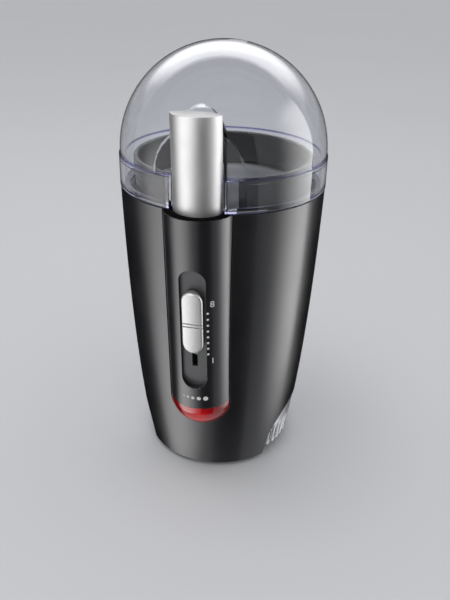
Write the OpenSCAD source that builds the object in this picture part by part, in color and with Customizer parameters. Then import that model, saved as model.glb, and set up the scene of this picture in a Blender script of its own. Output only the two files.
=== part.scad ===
/*
  Electric spice grinder.  A tapered housing carries a clear domed lid, a leaning
  control column with a push button and a grain slider, a steel grinding bowl with
  a two-wing blade, and a universal motor on a vented base.
  Millimetres, Z up.  The origin is the middle of the overall outline on the table
  and the control column faces -Y.
*/

/* [Housing] */
// Height of the housing's top rim above the table
body_h = 147.5; // [144:0.5:150]
// Outer radius of the housing at its top rim
rim_r = 49.8; // [49.2:0.1:50]
// Distance of the housing's lower edge inside its top rim
foot_in = 10.9; // [9.8:0.1:11.4]
// Gap between the housing's lower edge and the table
skirt_gap = 2; // [1.5:0.25:3]
// Distance inside the top rim of the point that bows the side wall outwards
bow_in = 2.3; // [1.8:0.1:2.8]
// Height of the control point that bows the side wall outwards
bow_z = 54.7; // [52:0.1:58]
// Thickness of the housing's wall
shell_wall = 2.4; // [2:0.1:2.6]
// Width of the ledge inside the housing that carries the deck
ledge_w = 2.4; // [2:0.1:3]
// Height of the ledge inside the housing
ledge_h = 2.4; // [1.6:0.1:4]

/* [Rear window and base ring] */
// Height of the window's upper edge above the table
window_top = 31.2; // [29:0.1:32]
// Distance of the window's front edge ahead of the body's axis
window_front = 24.2; // [22:0.1:26]
// Radius of the window's rounded front corner
window_corner = 21.2; // [18:0.1:22]
// Height of the base ring's lower edge above the table
ring_foot = 6.5; // [6:0.1:7]
// Height of the hidden part of the base ring above its lower edge
ring_h = 29.5; // [28:0.5:31]
// Thickness of the base ring's wall
ring_wall = 1.8; // [1.4:0.1:2.2]
// Depth of the base ring's face below the housing's face
ring_inset = 0.5; // [0.3:0.1:0.8]
// Number of flutes round a full turn
flute_count = 56; // [52:2:60]
// Radius of a flute's convex face
flute_r = 2.8; // [2.7:0.05:3.2]
// Height of the flutes above the base ring's lower edge
flute_h = 12.5; // [11:0.5:14]
// Width of the cooling slot in each flute
vent_w = 0.9; // [0.7:0.05:1.1]
// Height of the cooling slot in each flute
vent_h = 7.5; // [6:0.25:8.5]
// Height of the cord inlet's axis above the table
inlet_z = 18.5; // [17.5:0.1:19.5]
// Radius of the cord inlet's bore
inlet_bore_r = 3.4; // [3:0.1:3.8]
// Thickness of the cord inlet's sleeve
inlet_wall = 1.5; // [1.2:0.1:1.8]
// Thickness of the bottom plate
plate_t = 3; // [2.5:0.1:3.4]
// Radius of a rubber foot
foot_pad_r = 5; // [4.5:0.1:5.5]
// Depth of a rubber foot's seat in the bottom plate
foot_seat = 0.8; // [0.5:0.1:1.2]
// Distance of a rubber foot's middle inside the bottom plate's edge
foot_pad_in = 7.6; // [7:0.1:8.5]

/* [Control column] */
// Outer radius of the column
col_r = 16.2; // [15.8:0.1:16.4]
// Distance of the column's axis inside the front of the top rim
col_in = 6.3; // [5.8:0.1:6.6]
// Outward lean of the column in degrees
col_lean = 4.35; // [4:0.05:4.6]
// Height of the column's lower end, where the lens begins
col_foot_z = 46.3; // [46:0.1:48]
// Wall of the column
col_wall = 2.3; // [2:0.1:2.5]
// Distance from the column's axis to the rear edge of its cover
col_rear = 2; // [1.5:0.1:2.4]
// Half the width of the slider's recess
recess_half = 6.2; // [6:0.1:6.6]
// Distance of the recess's lower end above the column's foot, along the column
recess_s = 13.7; // [13:0.1:15]
// Distance of the recess's upper end below the button's guide
recess_under = 4.6; // [3.5:0.1:6]
// Depth of the recess at its middle
recess_d = 3.1; // [3:0.1:3.3]
// Thickness of the slider plate
plate_wall = 1.6; // [1.2:0.1:1.8]
// Width by which the slider plate is held behind the recess's edge
plate_lap = 1.3; // [1:0.1:1.5]
// Wall of the red lens
lens_wall = 1.6; // [1.2:0.1:2]
// Height of the lens's straight band, between its round end and the column's cover
lens_band = 1.4; // [0.8:0.1:2]

/* [Push button] */
// Radius of the button at its lower end
button_r = 11.45; // [11.2:0.05:11.6]
// Radius of the button at its top
button_top_r = 11.05; // [10.8:0.05:11.2]
// Rise of the button above the top rim, along the column
button_rise = 42.6; // [40:0.2:43]
// Depth of the button's skirt inside the column
button_skirt = 10.5; // [9:0.1:11.5]
// Distance from the column's axis to the middle of the button's bowed back
button_back = 2.6; // [2.4:0.1:2.8]
// Radius of the button's bowed back
button_back_r = 13.9; // [13.5:0.1:14.2]
// Running gap round the button
button_gap = 0.7; // [0.5:0.05:0.8]
// Wall of the button
button_wall = 1.6; // [1.3:0.1:1.9]
// Radius of the rounding round the button's top
button_round = 0.9; // [0.7:0.1:1.3]
// Travel of the button
button_travel = 4; // [3:0.1:4.2]
// Distance from the column's axis to the stem's axis, towards the front
stem_ahead = 3.6; // [3.4:0.1:4]
// Radius of the button's stem
stem_r = 2.8; // [2.5:0.05:2.9]
// Mean radius of the return spring
spring_r = 3.8; // [3.7:0.05:3.9]
// Wire radius of the return spring
spring_wire_r = 0.4; // [0.3:0.05:0.45]
// Number of turns of the return spring
spring_turns = 6; // [5:1:7]
// Radius of the mains switch's plunger
plunger_r = 1.9; // [1.6:0.05:2]

/* [Grain slider] */
// Half the width of the slider knob
knob_half = 5.35; // [5:0.05:5.45]
// Length of the slider knob
knob_l = 33.7; // [32:0.1:34.2]
// Place of the knob's middle at rest, as a share of the recess's length
knob_rest = 0.575; // [0.565:0.005:0.585]
// Rise of the knob's face above the column's face
knob_proud = 1.2; // [0.8:0.1:1.5]
// Width of the slope round the knob's face
knob_edge = 0.9; // [0.5:0.1:1.2]
// Width of the groove across the knob
knob_groove_w = 1.6; // [1:0.1:2]
// Depth of the groove across the knob
knob_groove_d = 0.7; // [0.5:0.1:1]
// Gap left above the knob at the upper end of its travel
stop_above = 3.25; // [3:0.05:4.5]
// Gap left below the knob at the lower end of its travel
stop_below = 5.75; // [5.5:0.05:7]
// Width of the slot in the slider plate
slot_w = 2.5; // [2.4:0.1:2.8]
// Length of the slot that shows below the lever at the end of its travel
slot_below = 6.3; // [3.5:0.1:7]
// Length of the slot above the lever at the end of its travel
slot_above = 4.7; // [3:0.1:6]
// Half the length of the slider's lever, along the column
lever_half = 2.5; // [2:0.1:3]

/* [Lid] */
// Width by which the lid's band stands over the top rim
band_over = 0.2; // [0:0.1:0.6]
// Height of the lid's band above the top rim
band_h = 14.7; // [14.2:0.1:15.5]
// Depth of the step from the band's face to the dome's
dome_in = 0.5; // [0.4:0.1:1]
// Height of the short straight part under the dome
dome_neck = 0.9; // [0.5:0.1:1.5]
// Thickness of the lid's wall
lid_wall = 2.2; // [1.8:0.1:2.3]
// Depth of the dome's flat front behind the front of the band
flat_in = 4.8; // [4.4:0.1:5.1]
// Depth of the channel's back behind the flat front
channel_in = 5.3; // [5.1:0.05:5.5]
// Width by which the channel's round back is larger than the button's bowed back
channel_grow = 0.8; // [0.5:0.1:1.2]
// Gap between the button's side and the channel's side
channel_side = 0.95; // [0.85:0.05:1.15]
// Depth of the lip that nests inside the housing's rim
lip_h = 2.5; // [1.5:0.1:2.7]
// Thickness of the lip
lip_t = 1.6; // [1.2:0.1:2]

/* [Grinding chamber] */
// Depth of the deck's face below the top rim
deck_drop = 3; // [2.9:0.1:3.2]
// Thickness of the deck
deck_t = 2.5; // [2.2:0.1:3]
// Distance of the collar's face inside the top rim
collar_in = 6.6; // [6.2:0.1:6.9]
// Thickness of the collar
collar_t = 2; // [1.6:0.1:2]
// Height of the collar above the top rim
collar_h = 14; // [13:0.1:14.2]
// Distance of the bowl's rim inside the collar
bowl_in = 6.4; // [6.2:0.1:7]
// Width by which the bowl narrows towards its rounded bottom
bowl_taper = 1.6; // [1.2:0.1:2.2]
// Radius of the bowl's rounded bottom
bowl_round = 8; // [7:0.25:9]
// Depth of the bowl
bowl_d = 33.5; // [33:0.1:34]
// Thickness of the bowl's sheet
bowl_sheet = 0.8; // [0.6:0.05:0.9]
// Width of the bowl's flange
flange_w = 3.4; // [3.2:0.05:3.5]
// Thickness of the seal under the bowl's flange
seal_t = 1; // [0.8:0.05:1.2]
// Distance of the screws in the bowl's floor inside the bowl's wall
bowl_screw_in = 13.7; // [13:0.1:14.7]

/* [Blade and shaft] */
// Radius of the drive shaft
shaft_r = 3; // [2.8:0.05:3.2]
// Radius of the shaft's threaded end
thread_r = 2.5; // [2.2:0.05:2.6]
// Distance of the blade's tips inside the bowl's wall
blade_in = 5.2; // [4.2:0.1:7]
// Width of the blade
blade_w = 10; // [8:0.25:11]
// Thickness of the blade
blade_t = 1.4; // [1.1:0.05:1.7]
// Distance from the blade's axis to the bend of a wing
blade_bend = 14; // [12:0.25:15.5]
// Rise of the upper wing in degrees
wing_up = 22; // [15:1:25]
// Fall of the lower wing in degrees
wing_down = 6; // [3:0.5:7]
// Height of the blade above the bowl's floor
blade_z = 3.4; // [3.2:0.1:4]

/* [Motor] */
// Height of the armature's lower end, as a share of the housing's height
core_rise = 0.3525; // [0.3495:0.0005:0.3555]
// Length of the armature and stator stacks
core_h = 28; // [27:0.25:28.5]
// Radius of the armature
armature_r = 16.8; // [16.2:0.1:17]
// Air gap between the armature and the pole shoes
air_gap = 0.6; // [0.4:0.05:0.8]
// Number of armature slots
slot_count = 12; // [10:1:14]
// Width of the stator
stator_w = 58; // [57.5:0.25:59]
// Depth of the stator
stator_d = 50; // [49.5:0.25:51]
// Radius of the commutator
commutator_r = 9.5; // [9:0.1:10]
// Radius of the ball bearings
bearing_r = 6.5; // [6:0.1:7]
// Height of the ball bearings
bearing_h = 8; // [7:0.1:8.5]
// Radius of the motor brackets
bracket_r = 30; // [29.5:0.1:30.5]
// Thickness of the motor brackets
bracket_t = 3; // [2.5:0.1:3.4]
// Radius of the cooling fan
fan_r = 21; // [19:0.25:21.5]
// Number of fan blades
fan_blades = 9; // [7:1:11]

/* [Hidden] */
$fn = 64;

// Gap between a moving piece and what it passes
run_gap = 0.3;
// Radial clearance of a shaft or stem in its bore
fit = 0.06;
// Seam between two fixed pieces of the housing
seam = 0.3;
// Overlap that makes a cut or a join clean
eps = 0.1;
// A length longer than the whole object
far = 300;

// Side wall: a quadratic curve from the lower edge to the top rim
foot_r = rim_r - foot_in;
bow_r = rim_r - bow_in;
profile_steps = 14;
function wall_t(z) =
    let (a = skirt_gap - 2 * bow_z + body_h, b = 2 * (bow_z - skirt_gap), c = skirt_gap - z)
    -2 * c / (b + sqrt(b * b - 4 * a * c));
function shell_r(z) =
    let (t = wall_t(z)) (1 - t) * (1 - t) * foot_r + 2 * t * (1 - t) * bow_r + t * t * rim_r;
function wall_line(inset, lo, hi, steps) =
    [for (i = [0:steps]) let (z = lo + (hi - lo) * i / steps) [shell_r(z) - inset, z]];
function backwards(list) = [for (i = [len(list) - 1:-1:0]) list[i]];
function arc(cx, cy, r, from, to, steps) =
    [for (i = [0:steps]) let (a = from + (to - from) * i / steps) [cx + r * cos(a), cy + r * sin(a)]];

// Column: distances along it count from the lens's upper edge
col_y = rim_r - col_in;
col_foot_y = col_y - (body_h - col_foot_z) * tan(col_lean);
col_l = (body_h - col_foot_z) / cos(col_lean);
col_inner_r = col_r - col_wall;
lens_spigot = 2.4;
lens_fit = 0.2;
guide_back = button_back + button_gap + 1;
guide_floor_t = 2;
guide_l = button_skirt + button_travel + guide_floor_t + 1.5;
guide_s = col_l - guide_l;
recess_front = -(col_r - recess_d);
plate_back = recess_front + plate_wall;
recess_top = guide_s - recess_under;

// Board, potentiometer and switch behind the slider plate
knob_s = recess_s + knob_rest * (recess_top - recess_s);
slide_up = recess_top - stop_above - knob_s - knob_l / 2;
slide_down = knob_s - knob_l / 2 - recess_s - stop_below;
board_front = -5;
board_t = 1.6;
board_back = board_front + board_t;
board_half = 11;
board_s = 3;
stem_s = guide_s - 0.5;
plunger_rise = 4.7;
plunger_top = stem_s - run_gap;
plunger_depth = 6;
switch_top = plunger_top - plunger_rise;
switch_block_h = 12;
board_top = switch_top - switch_block_h;
pot_front = plate_back + 1.1;
pot_half = 5;
pot_margin = 3.5;
pot_s = knob_s - slide_down - lever_half - pot_margin;
pot_top = knob_s + slide_up + lever_half + pot_margin;
rail_w = 2.5;
rail_d = 4;
switch_half = 8;
switch_d = 8;
switch_lap = 8;
light_r = 2.5;
light_s = -3;

// Button
button_s = col_l - button_skirt;
button_top = col_l + button_rise;
button_ceiling = button_top - 2.2;
boss_l = 14;
boss_t = 1.8;
spring_s = guide_s + guide_floor_t;
spring_seat_s = spring_s + 15;
spring_seat_t = 1.5;

// Slider
slot_s = knob_s - slide_down - lever_half - slot_below;
slot_top = knob_s + slide_up + lever_half + slot_above;
knob_floor = recess_front - run_gap;
lever_half_w = slot_w / 2 - run_gap;
lever_tip = board_front - 2;

// Lid
lid_z = body_h + run_gap;
band_r = rim_r + band_over;
dome_r = band_r - dome_in;
flat_y = band_r - flat_in;
channel_y = flat_y - channel_in;
channel_r = button_back_r + channel_grow;
channel_half = button_r + channel_side;
band_top = body_h + band_h;
dome_z = band_top + dome_neck;
dome_inner_r = dome_r - lid_wall;
band_inner_r = band_r - lid_wall;
channel_axis_y = channel_y + channel_r;
lip_gap = 0.4;
lip_r = rim_r - shell_wall - lip_gap;
lip_clear = 3.9;
lip_clear_y = channel_y - lip_clear;

// Chamber
deck_z = body_h - deck_drop;
ledge_z = deck_z - deck_t;
deck_r = shell_r(ledge_z) - shell_wall - seam;
collar_r = rim_r - collar_in;
collar_inner_r = collar_r - collar_t;
collar_top = body_h + collar_h;
collar_gap = 0.8;
collar_gap_half = channel_half + lid_wall + collar_gap;
collar_edge = 0.4;
bowl_r = collar_inner_r - bowl_in;
bowl_foot_r = bowl_r - bowl_taper;
bowl_top = deck_z + bowl_sheet;
bowl_floor = bowl_top - bowl_d;
bowl_under = bowl_floor - bowl_sheet;
flange_r = bowl_r + flange_w;
deck_bore_r = bowl_r + bowl_sheet + seam;
seal_bore_r = deck_bore_r + seam;
bowl_screw_circle = bowl_foot_r - bowl_screw_in;
bowl_screw_r = 1.5;
bowl_screw_l = 8;
bowl_screw_head_r = 3;
bowl_screw_head_h = 1.1;

// Rotor
blade_r = bowl_foot_r - blade_in;
blade_base = bowl_floor + blade_z;
nut_h = 3;
nut_r = 4.2;
shaft_top = blade_base + blade_t + nut_h + 1;
shoulder_r = 4.6;
seal_r = 6;
seal_flange_r = 7.6;
seal_flange_t = 1.2;
seal_l = 4;

// Motor
core_z = core_rise * body_h;
core_top = core_z + core_h;
coil_over = 5;
coil_gap = 0.3;
yoke_x = 4;
yoke_y = 4.5;
window_half_x = stator_w / 2 - yoke_x;
window_half_y = stator_d / 2 - yoke_y;
pole_half = 6;
corner_over = 7;
stator_round_r = stator_w / 2 + corner_over;
shoe_r = armature_r + air_gap;
shoe_t = 3;
shoe_half = 14;
coil_half = 13.5;
tie_x = 19;
tie_y = 20;
tie_r = 2;
tie_hole_r = 2.2;
leg_r = 4;
hub_r = bearing_r + 2.5;
hub_lip = 2;
lower_hub_drop = 30;
lower_hub_z = core_z - lower_hub_drop;
bracket_hole_r = 6;
lower_z = lower_hub_z + 3;
upper_hub_z = core_top + coil_over + 2;
upper_z = upper_hub_z + 3;
post_r = 3.4;
commutator_drop = 16;
commutator_z = core_z - commutator_drop;
commutator_h = core_z - commutator_z - coil_over;
brush_z = commutator_z + commutator_h / 2;
brush_half = 2.4;
brush_l = 10;
holder_wall = 1.4;
holder_x = commutator_r + 2;
holder_l = 14;
fan_h = 8;
fan_gap = 2;
fan_z = lower_hub_z - fan_gap - fan_h;
shaft_z = fan_z;
mount_circle = 26;
mount_h = 4;
mount_r = 4;
plate_z = ring_foot - plate_t;
plate_r = shell_r(ring_foot) - shell_wall - 2 * seam;
foot_circle = plate_r - foot_pad_in;
foot_edge = 0.8;
foot_edge_h = 1;
base_screw_in = 4.0;
base_screw_circle = plate_r - base_screw_in;
base_screw_turn = 22.5;
flute_in = 1.2;
vent_in = 6.6;
vent_lift = 2.6;
vent_clear = 14;
base_screw_r = 1.45;
base_screw_l = 9;
base_screw_head_r = 2.9;
base_screw_head_h = 1.2;
base_screw_sink = 0.2;
screw_boss_r = 3.2;
screw_boss_h = 9.7;

// Cord inlet
sleeve_r = inlet_bore_r + inlet_wall;
sleeve_l = 5.5;
sleeve_flange_w = 1.8;
sleeve_flange_t = 1.6;
sleeve_face_y = shell_r(inlet_z) - ring_inset;
inlet_pad_w = 2.6;

// The body's axis stands behind the middle of the overall outline
axis_y = (col_y + col_r / cos(col_lean) - band_r) / 2;

shell_black = "#232427";
panel_grey = "#4a4a4c";
silver = "#c4c4c6";
steel = "#b9bcc0";
rubber_black = "#1a1a1a";
copper = "#a85a32";
lamination = "#6a6d70";

// ---------------------------------------------------------------- helpers

// Moves its children from the body's axis to the middle of the overall outline
module placed() {
    translate([0, axis_y, 0]) children();
}

// Places its children in the column's own frame, Z along the leaning column
module on_column() {
    translate([0, -col_foot_y, col_foot_z]) rotate([col_lean, 0, 0]) children();
}

// A ring that follows the side wall between two depths below its face
module wall_band(outer, inner, lo, hi, steps = profile_steps) {
    rotate_extrude($fn = 128)
        polygon(concat(wall_line(outer, lo, hi, steps), backwards(wall_line(inner, lo, hi, steps))));
}

// A plain ring
module ring(r_out, r_in, lo, hi) {
    translate([0, 0, lo]) difference() {
        cylinder(r = r_out, h = hi - lo);
        translate([0, 0, -eps]) cylinder(r = r_in, h = hi - lo + 2 * eps);
    }
}

// A straight-sided pill along Z, extruded along Y from the first depth to the second
module pill(half, lo, hi, y_front, y_back) {
    for (z = [lo + half, hi - half])
        translate([0, y_front, z]) rotate([-90, 0, 0]) cylinder(r = half, h = y_back - y_front);
    translate([-half, y_front, lo + half]) cube([2 * half, y_back - y_front, hi - lo - 2 * half]);
}

// The space of the column and its round foot, with a gap all round
module column_space(gap) {
    on_column() {
        cylinder(r = col_r + gap, h = col_l + 10);
        sphere(r = col_r + gap);
    }
}

// The window in the housing's lower back, grown by a gap (or shrunk by a negative one)
module rear_window(gap) {
    corner = window_corner + gap;
    corner_y = window_corner - window_front;
    corner_z = window_top - window_corner;
    translate([-far / 2, corner_y, corner_z]) rotate([0, 90, 0]) cylinder(r = corner, h = far);
    translate([-far / 2, corner_y, -1]) cube([far, far / 2, window_top + gap + 1]);
    translate([-far / 2, corner_y - corner, -1]) cube([far, far / 2, corner_z + 1]);
}

// Copies its children round the axis
module around(count, start = 0) {
    for (i = [0:count - 1]) rotate([0, 0, start + i * 360 / count]) children();
}

// The button's outline as a tapered bar with a bowed back, grown by a gap
module button_bar(r_low, r_high, grow, lo, hi) {
    intersection() {
        translate([0, 0, lo]) cylinder(r1 = r_low + grow, r2 = r_high + grow, h = hi - lo);
        translate([0, button_back - button_back_r, lo - 1])
            cylinder(r = button_back_r + grow, h = hi - lo + 2, $fn = 128);
    }
}

// Places its children on the stem's axis
module on_stem() {
    on_column() translate([0, -stem_ahead, 0]) children();
}

// ---------------------------------------------------------------- housing

module outer_shell() {
    placed() color(shell_black) difference() {
        union() {
            wall_band(0, shell_wall, skirt_gap, body_h);
            ring(shell_r(ledge_z) - shell_wall / 2, shell_r(ledge_z) - shell_wall - ledge_w,
                ledge_z - ledge_h, ledge_z);
        }
        column_space(seam);
        rear_window(0);
    }
}

module control_column() {
    placed() color(shell_black) difference() {
        on_column() difference() {
            union() {
                intersection() {
                    cylinder(r = col_r, h = col_l + 5);
                    translate([-far / 2, col_rear - far, lens_band])
                        cube([far, far, guide_s + eps - lens_band]);
                }
                intersection() {
                    cylinder(r = col_r, h = col_l + 5);
                    translate([-far / 2, guide_back - far, guide_s]) cube([far, far, far]);
                }
            }
            difference() {
                translate([0, 0, -1]) cylinder(r = col_inner_r, h = guide_s + 1);
                for (side = [-1, 1])
                    translate([side * (board_half - rail_w / 2) - rail_w / 2 + side * 0.6,
                        board_front - rail_d, board_s])
                        cube([rail_w, rail_d, board_top - board_s]);
            }
            button_bar(button_r, button_r, button_gap, guide_s + guide_floor_t, col_l + 6);
            translate([0, -stem_ahead, guide_s - 1]) cylinder(r = stem_r + fit, h = guide_floor_t + 2);
            pill(recess_half, recess_s, recess_top, -col_r - 2, -board_half);
            pill(recess_half + plate_lap + seam, recess_s - plate_lap - seam,
                recess_top + plate_lap + seam, recess_front, -5);
        }
        translate([-far / 2, -far / 2, body_h]) cube([far, far, far]);
    }
}

module slider_plate() {
    placed() color(panel_grey) on_column() difference() {
        pill(recess_half + plate_lap, recess_s - plate_lap, recess_top + plate_lap,
            recess_front, plate_back);
        translate([-slot_w / 2, recess_front - 1, slot_s]) cube([slot_w, plate_wall + 2, slot_top - slot_s]);
    }
}

module indicator_lens() {
    placed() color("#b01018") on_column() difference() {
        union() {
            intersection() {
                union() {
                    sphere(r = col_r);
                    cylinder(r = col_r, h = lens_band);
                }
                translate([-far / 2, col_rear - far, -far]) cube([far, far, far + lens_band]);
            }
            intersection() {
                translate([0, 0, -lens_wall])
                    cylinder(r = col_inner_r - lens_fit, h = lens_wall + lens_band + lens_spigot);
                translate([-far / 2, col_rear - far, -far]) cube([far, far, 2 * far]);
            }
        }
        sphere(r = col_r - lens_wall);
        translate([0, 0, -1]) cylinder(r = col_inner_r - lens_wall, h = lens_band + lens_spigot + 2);
    }
}

// One flute: a leaning bar whose crest follows the base ring's face
module flute() {
    low_r = shell_r(ring_foot) - ring_inset;
    high_r = shell_r(ring_foot + flute_h) - ring_inset;
    slope = atan((high_r - low_r) / flute_h);
    translate([0, low_r - flute_r, ring_foot - 1]) rotate([-slope, 0, 0])
        translate([0, -tan(slope), 0]) cylinder(r = flute_r, h = flute_h + 3, $fn = 32);
}

module base_ring() {
    step = 360 / flute_count;
    window_half_angle = 180 - acos((window_front - 1) / shell_r(ring_foot));
    flutes_each_side = floor(window_half_angle / step);
    inner = shell_wall + seam;
    placed() color(silver) difference() {
        union() {
            wall_band(inner, inner + ring_wall, ring_foot, ring_foot + ring_h, 6);
            intersection() {
                union() {
                    wall_band(ring_inset, inner + eps, ring_foot + flute_h, window_top, 4);
                    wall_band(ring_inset + flute_in, inner + eps, ring_foot, ring_foot + flute_h + eps, 4);
                    intersection() {
                        for (i = [-flutes_each_side:flutes_each_side]) rotate([0, 0, i * step]) flute();
                        ring(band_r, shell_r(ring_foot) - inner - 1, ring_foot,
                            ring_foot + flute_h + eps);
                    }
                }
                rear_window(-seam);
            }
            around(4, base_screw_turn) intersection() {
                translate([0, base_screw_circle, ring_foot]) cylinder(r = screw_boss_r, h = screw_boss_h);
                cylinder(r = shell_r(ring_foot) - inner - 2 * seam, h = far);
            }
            translate([0, shell_r(inlet_z) - inner - ring_wall - 1, inlet_z]) rotate([-90, 0, 0])
                cylinder(r = sleeve_r + inlet_pad_w, h = inner - ring_inset + ring_wall + 1);
        }
        for (i = [-flutes_each_side:flutes_each_side])
            rotate([0, 0, i * step])
                if (abs(i * step) > vent_clear)
                    pill(vent_w / 2, ring_foot + vent_lift, ring_foot + vent_lift + vent_h,
                        plate_r - vent_in, band_r);
        translate([0, 0, inlet_z]) rotate([-90, 0, 0]) cylinder(r = sleeve_r + eps, h = far);
        translate([0, sleeve_face_y + eps, inlet_z]) rotate([-90, 0, 0])
            cylinder(r = sleeve_r + sleeve_flange_w + eps, h = far);
        around(4, base_screw_turn) translate([0, base_screw_circle, ring_foot - 1])
            cylinder(r = base_screw_r + 0.05, h = base_screw_l + 1);
        on_column() sphere(r = col_r + 2 * seam);
    }
}

module foot_spot(i) {
    rotate([0, 0, 45 + 90 * i]) translate([0, foot_circle, 0]) children();
}

module bottom_plate() {
    placed() color(rubber_black) difference() {
        union() {
            translate([0, 0, plate_z]) cylinder(r = plate_r, h = plate_t, $fn = 128);
            around(4) translate([0, mount_circle, ring_foot - eps])
                cylinder(r = mount_r - 0.5, h = lower_z - mount_h - ring_foot + eps);
        }
        for (i = [0:3]) foot_spot(i) translate([0, 0, plate_z - 1]) cylinder(r = foot_pad_r + 0.1, h = 1 + foot_seat);
        around(4, base_screw_turn) translate([0, base_screw_circle, plate_z - 1]) {
            cylinder(r = base_screw_r + seam, h = plate_t + 2);
            cylinder(r = base_screw_head_r + 0.2, h = 1 + base_screw_sink + base_screw_head_h);
        }
        around(12, 15) translate([-1.2, 11, plate_z - 1]) cube([2.4, 10, plate_t + 2]);
    }
}

module rubber_foot(i) {
    placed() color(rubber_black) foot_spot(i) {
        translate([0, 0, foot_edge_h]) cylinder(r = foot_pad_r, h = plate_z + foot_seat - foot_edge_h);
        cylinder(r1 = foot_pad_r - foot_edge, r2 = foot_pad_r, h = foot_edge_h);
    }
}

module rubber_foot_1() { rubber_foot(0); }
module rubber_foot_2() { rubber_foot(1); }
module rubber_foot_3() { rubber_foot(2); }
module rubber_foot_4() { rubber_foot(3); }

module base_screws() {
    placed() color(steel) around(4, base_screw_turn)
        translate([0, base_screw_circle, plate_z + base_screw_sink]) {
            cylinder(r = base_screw_head_r, h = base_screw_head_h);
            cylinder(r = base_screw_r, h = base_screw_l);
        }
}

module cord_inlet() {
    placed() color(rubber_black) translate([0, sleeve_face_y, inlet_z]) rotate([-90, 0, 0]) difference() {
        union() {
            translate([0, 0, -sleeve_l]) cylinder(r = sleeve_r, h = sleeve_l + 2 * eps);
            translate([0, 0, eps]) cylinder(r = sleeve_r + sleeve_flange_w, h = sleeve_flange_t);
        }
        translate([0, 0, -sleeve_l - 1]) cylinder(r = inlet_bore_r, h = 2 * sleeve_l);
    }
}

// ---------------------------------------------------------------- grinding chamber

module chamber_deck() {
    placed() color(shell_black) difference() {
        rotate_extrude($fn = 128) polygon([
            [deck_bore_r, ledge_z], [deck_r, ledge_z], [deck_r, deck_z],
            [collar_r, deck_z], [collar_r, collar_top - collar_edge], [collar_r - collar_edge, collar_top],
            [collar_inner_r + collar_edge, collar_top], [collar_inner_r, collar_top - collar_edge],
            [collar_inner_r, deck_z - seal_t], [deck_bore_r, deck_z - seal_t]
        ]);
        translate([-collar_gap_half, -far / 2, deck_z]) cube([2 * collar_gap_half, far / 2, far]);
        on_column() intersection() {
            cylinder(r = col_r + seam, h = far);
            translate([-far / 2, guide_back + seam - far, 0]) cube([far, far, far]);
        }
    }
}

module grinding_bowl() {
    round_y = bowl_floor + bowl_round;
    round_x = bowl_foot_r - bowl_round;
    hole_r = seal_r + 0.1;
    placed() color(steel) difference() {
        rotate_extrude($fn = 128) polygon(concat(
            [[hole_r, bowl_floor]],
            arc(round_x, round_y, bowl_round, -90, 0, 5),
            [[bowl_r, bowl_top], [flange_r, bowl_top], [flange_r, deck_z], [bowl_r + bowl_sheet, deck_z]],
            arc(round_x, round_y, bowl_round + bowl_sheet, 0, -90, 5),
            [[hole_r, bowl_under]]
        ));
        around(3) translate([0, bowl_screw_circle, bowl_under - 1])
            cylinder(r = bowl_screw_r + seam, h = bowl_sheet + 3);
    }
}

module bowl_seal() {
    placed() color(rubber_black) ring(flange_r - 0.1, seal_bore_r, deck_z - seal_t, deck_z);
}

module bowl_screws() {
    placed() color(steel) around(3) translate([0, bowl_screw_circle, 0]) {
        translate([0, 0, bowl_floor])
            cylinder(r1 = bowl_screw_head_r, r2 = 0.75 * bowl_screw_head_r, h = bowl_screw_head_h);
        translate([0, 0, bowl_floor - bowl_screw_l]) cylinder(r = bowl_screw_r, h = bowl_screw_l + eps);
    }
}

module shaft_seal() {
    placed() color(rubber_black) difference() {
        union() {
            translate([0, 0, bowl_floor - seal_l]) cylinder(r = seal_r, h = seal_l + eps);
            translate([0, 0, bowl_floor]) cylinder(r1 = seal_flange_r, r2 = seal_flange_r - 1, h = seal_flange_t);
        }
        translate([0, 0, bowl_floor - seal_l - 1]) cylinder(r = shaft_r + fit, h = seal_l + 5);
    }
}

// ---------------------------------------------------------------- motor

// The two tie screws stand on opposite corners of the stack
module at_ties() {
    for (side = [-1, 1]) translate([side * tie_x, side * tie_y, 0]) children();
}

module bearing_hub(z) {
    translate([0, 0, z]) cylinder(r = hub_r, h = hub_lip + bearing_h + 0.5);
}

module bearing_bore(z) {
    translate([0, 0, z - 1]) cylinder(r = shaft_r + 0.6, h = hub_lip + 2);
    translate([0, 0, z + hub_lip]) cylinder(r = bearing_r + 0.05, h = bearing_h + 2);
}

module upper_bracket() {
    placed() color(lamination) difference() {
        union() {
            translate([0, 0, upper_z]) cylinder(r = bracket_r, h = bracket_t);
            bearing_hub(upper_hub_z);
            at_ties() translate([0, 0, core_top]) cylinder(r = leg_r, h = upper_z - core_top + eps);
            around(3) translate([0, bowl_screw_circle, upper_z]) cylinder(r = post_r, h = bowl_under - upper_z);
        }
        bearing_bore(upper_hub_z);
        at_ties() translate([0, 0, core_top - 1]) cylinder(r = tie_hole_r, h = far);
        around(3) translate([0, bowl_screw_circle, bowl_floor - bowl_screw_l - 1])
            cylinder(r = bowl_screw_r + eps, h = bowl_screw_l + 3);
        around(3, 60) translate([0, bowl_screw_circle, upper_z - 1])
            cylinder(r = bracket_hole_r, h = bracket_t + 2);
    }
}

module lower_bracket() {
    placed() color(lamination) difference() {
        union() {
            translate([0, 0, lower_z]) cylinder(r = bracket_r, h = bracket_t);
            bearing_hub(lower_hub_z);
            at_ties() translate([0, 0, lower_z]) cylinder(r = leg_r, h = core_z - lower_z);
        }
        bearing_bore(lower_hub_z);
        at_ties() translate([0, 0, lower_z - 5]) cylinder(r = tie_hole_r, h = far);
        around(4, 45) translate([0, 17.5, lower_z - 1]) cylinder(r = 4, h = bracket_t + 2);
    }
}

module bearing(z) {
    placed() color(steel) ring(bearing_r, shaft_r + fit, z + hub_lip + 0.2, z + hub_lip + 0.2 + bearing_h);
}

module upper_bearing() { bearing(upper_hub_z); }
module lower_bearing() { bearing(lower_hub_z); }

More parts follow.
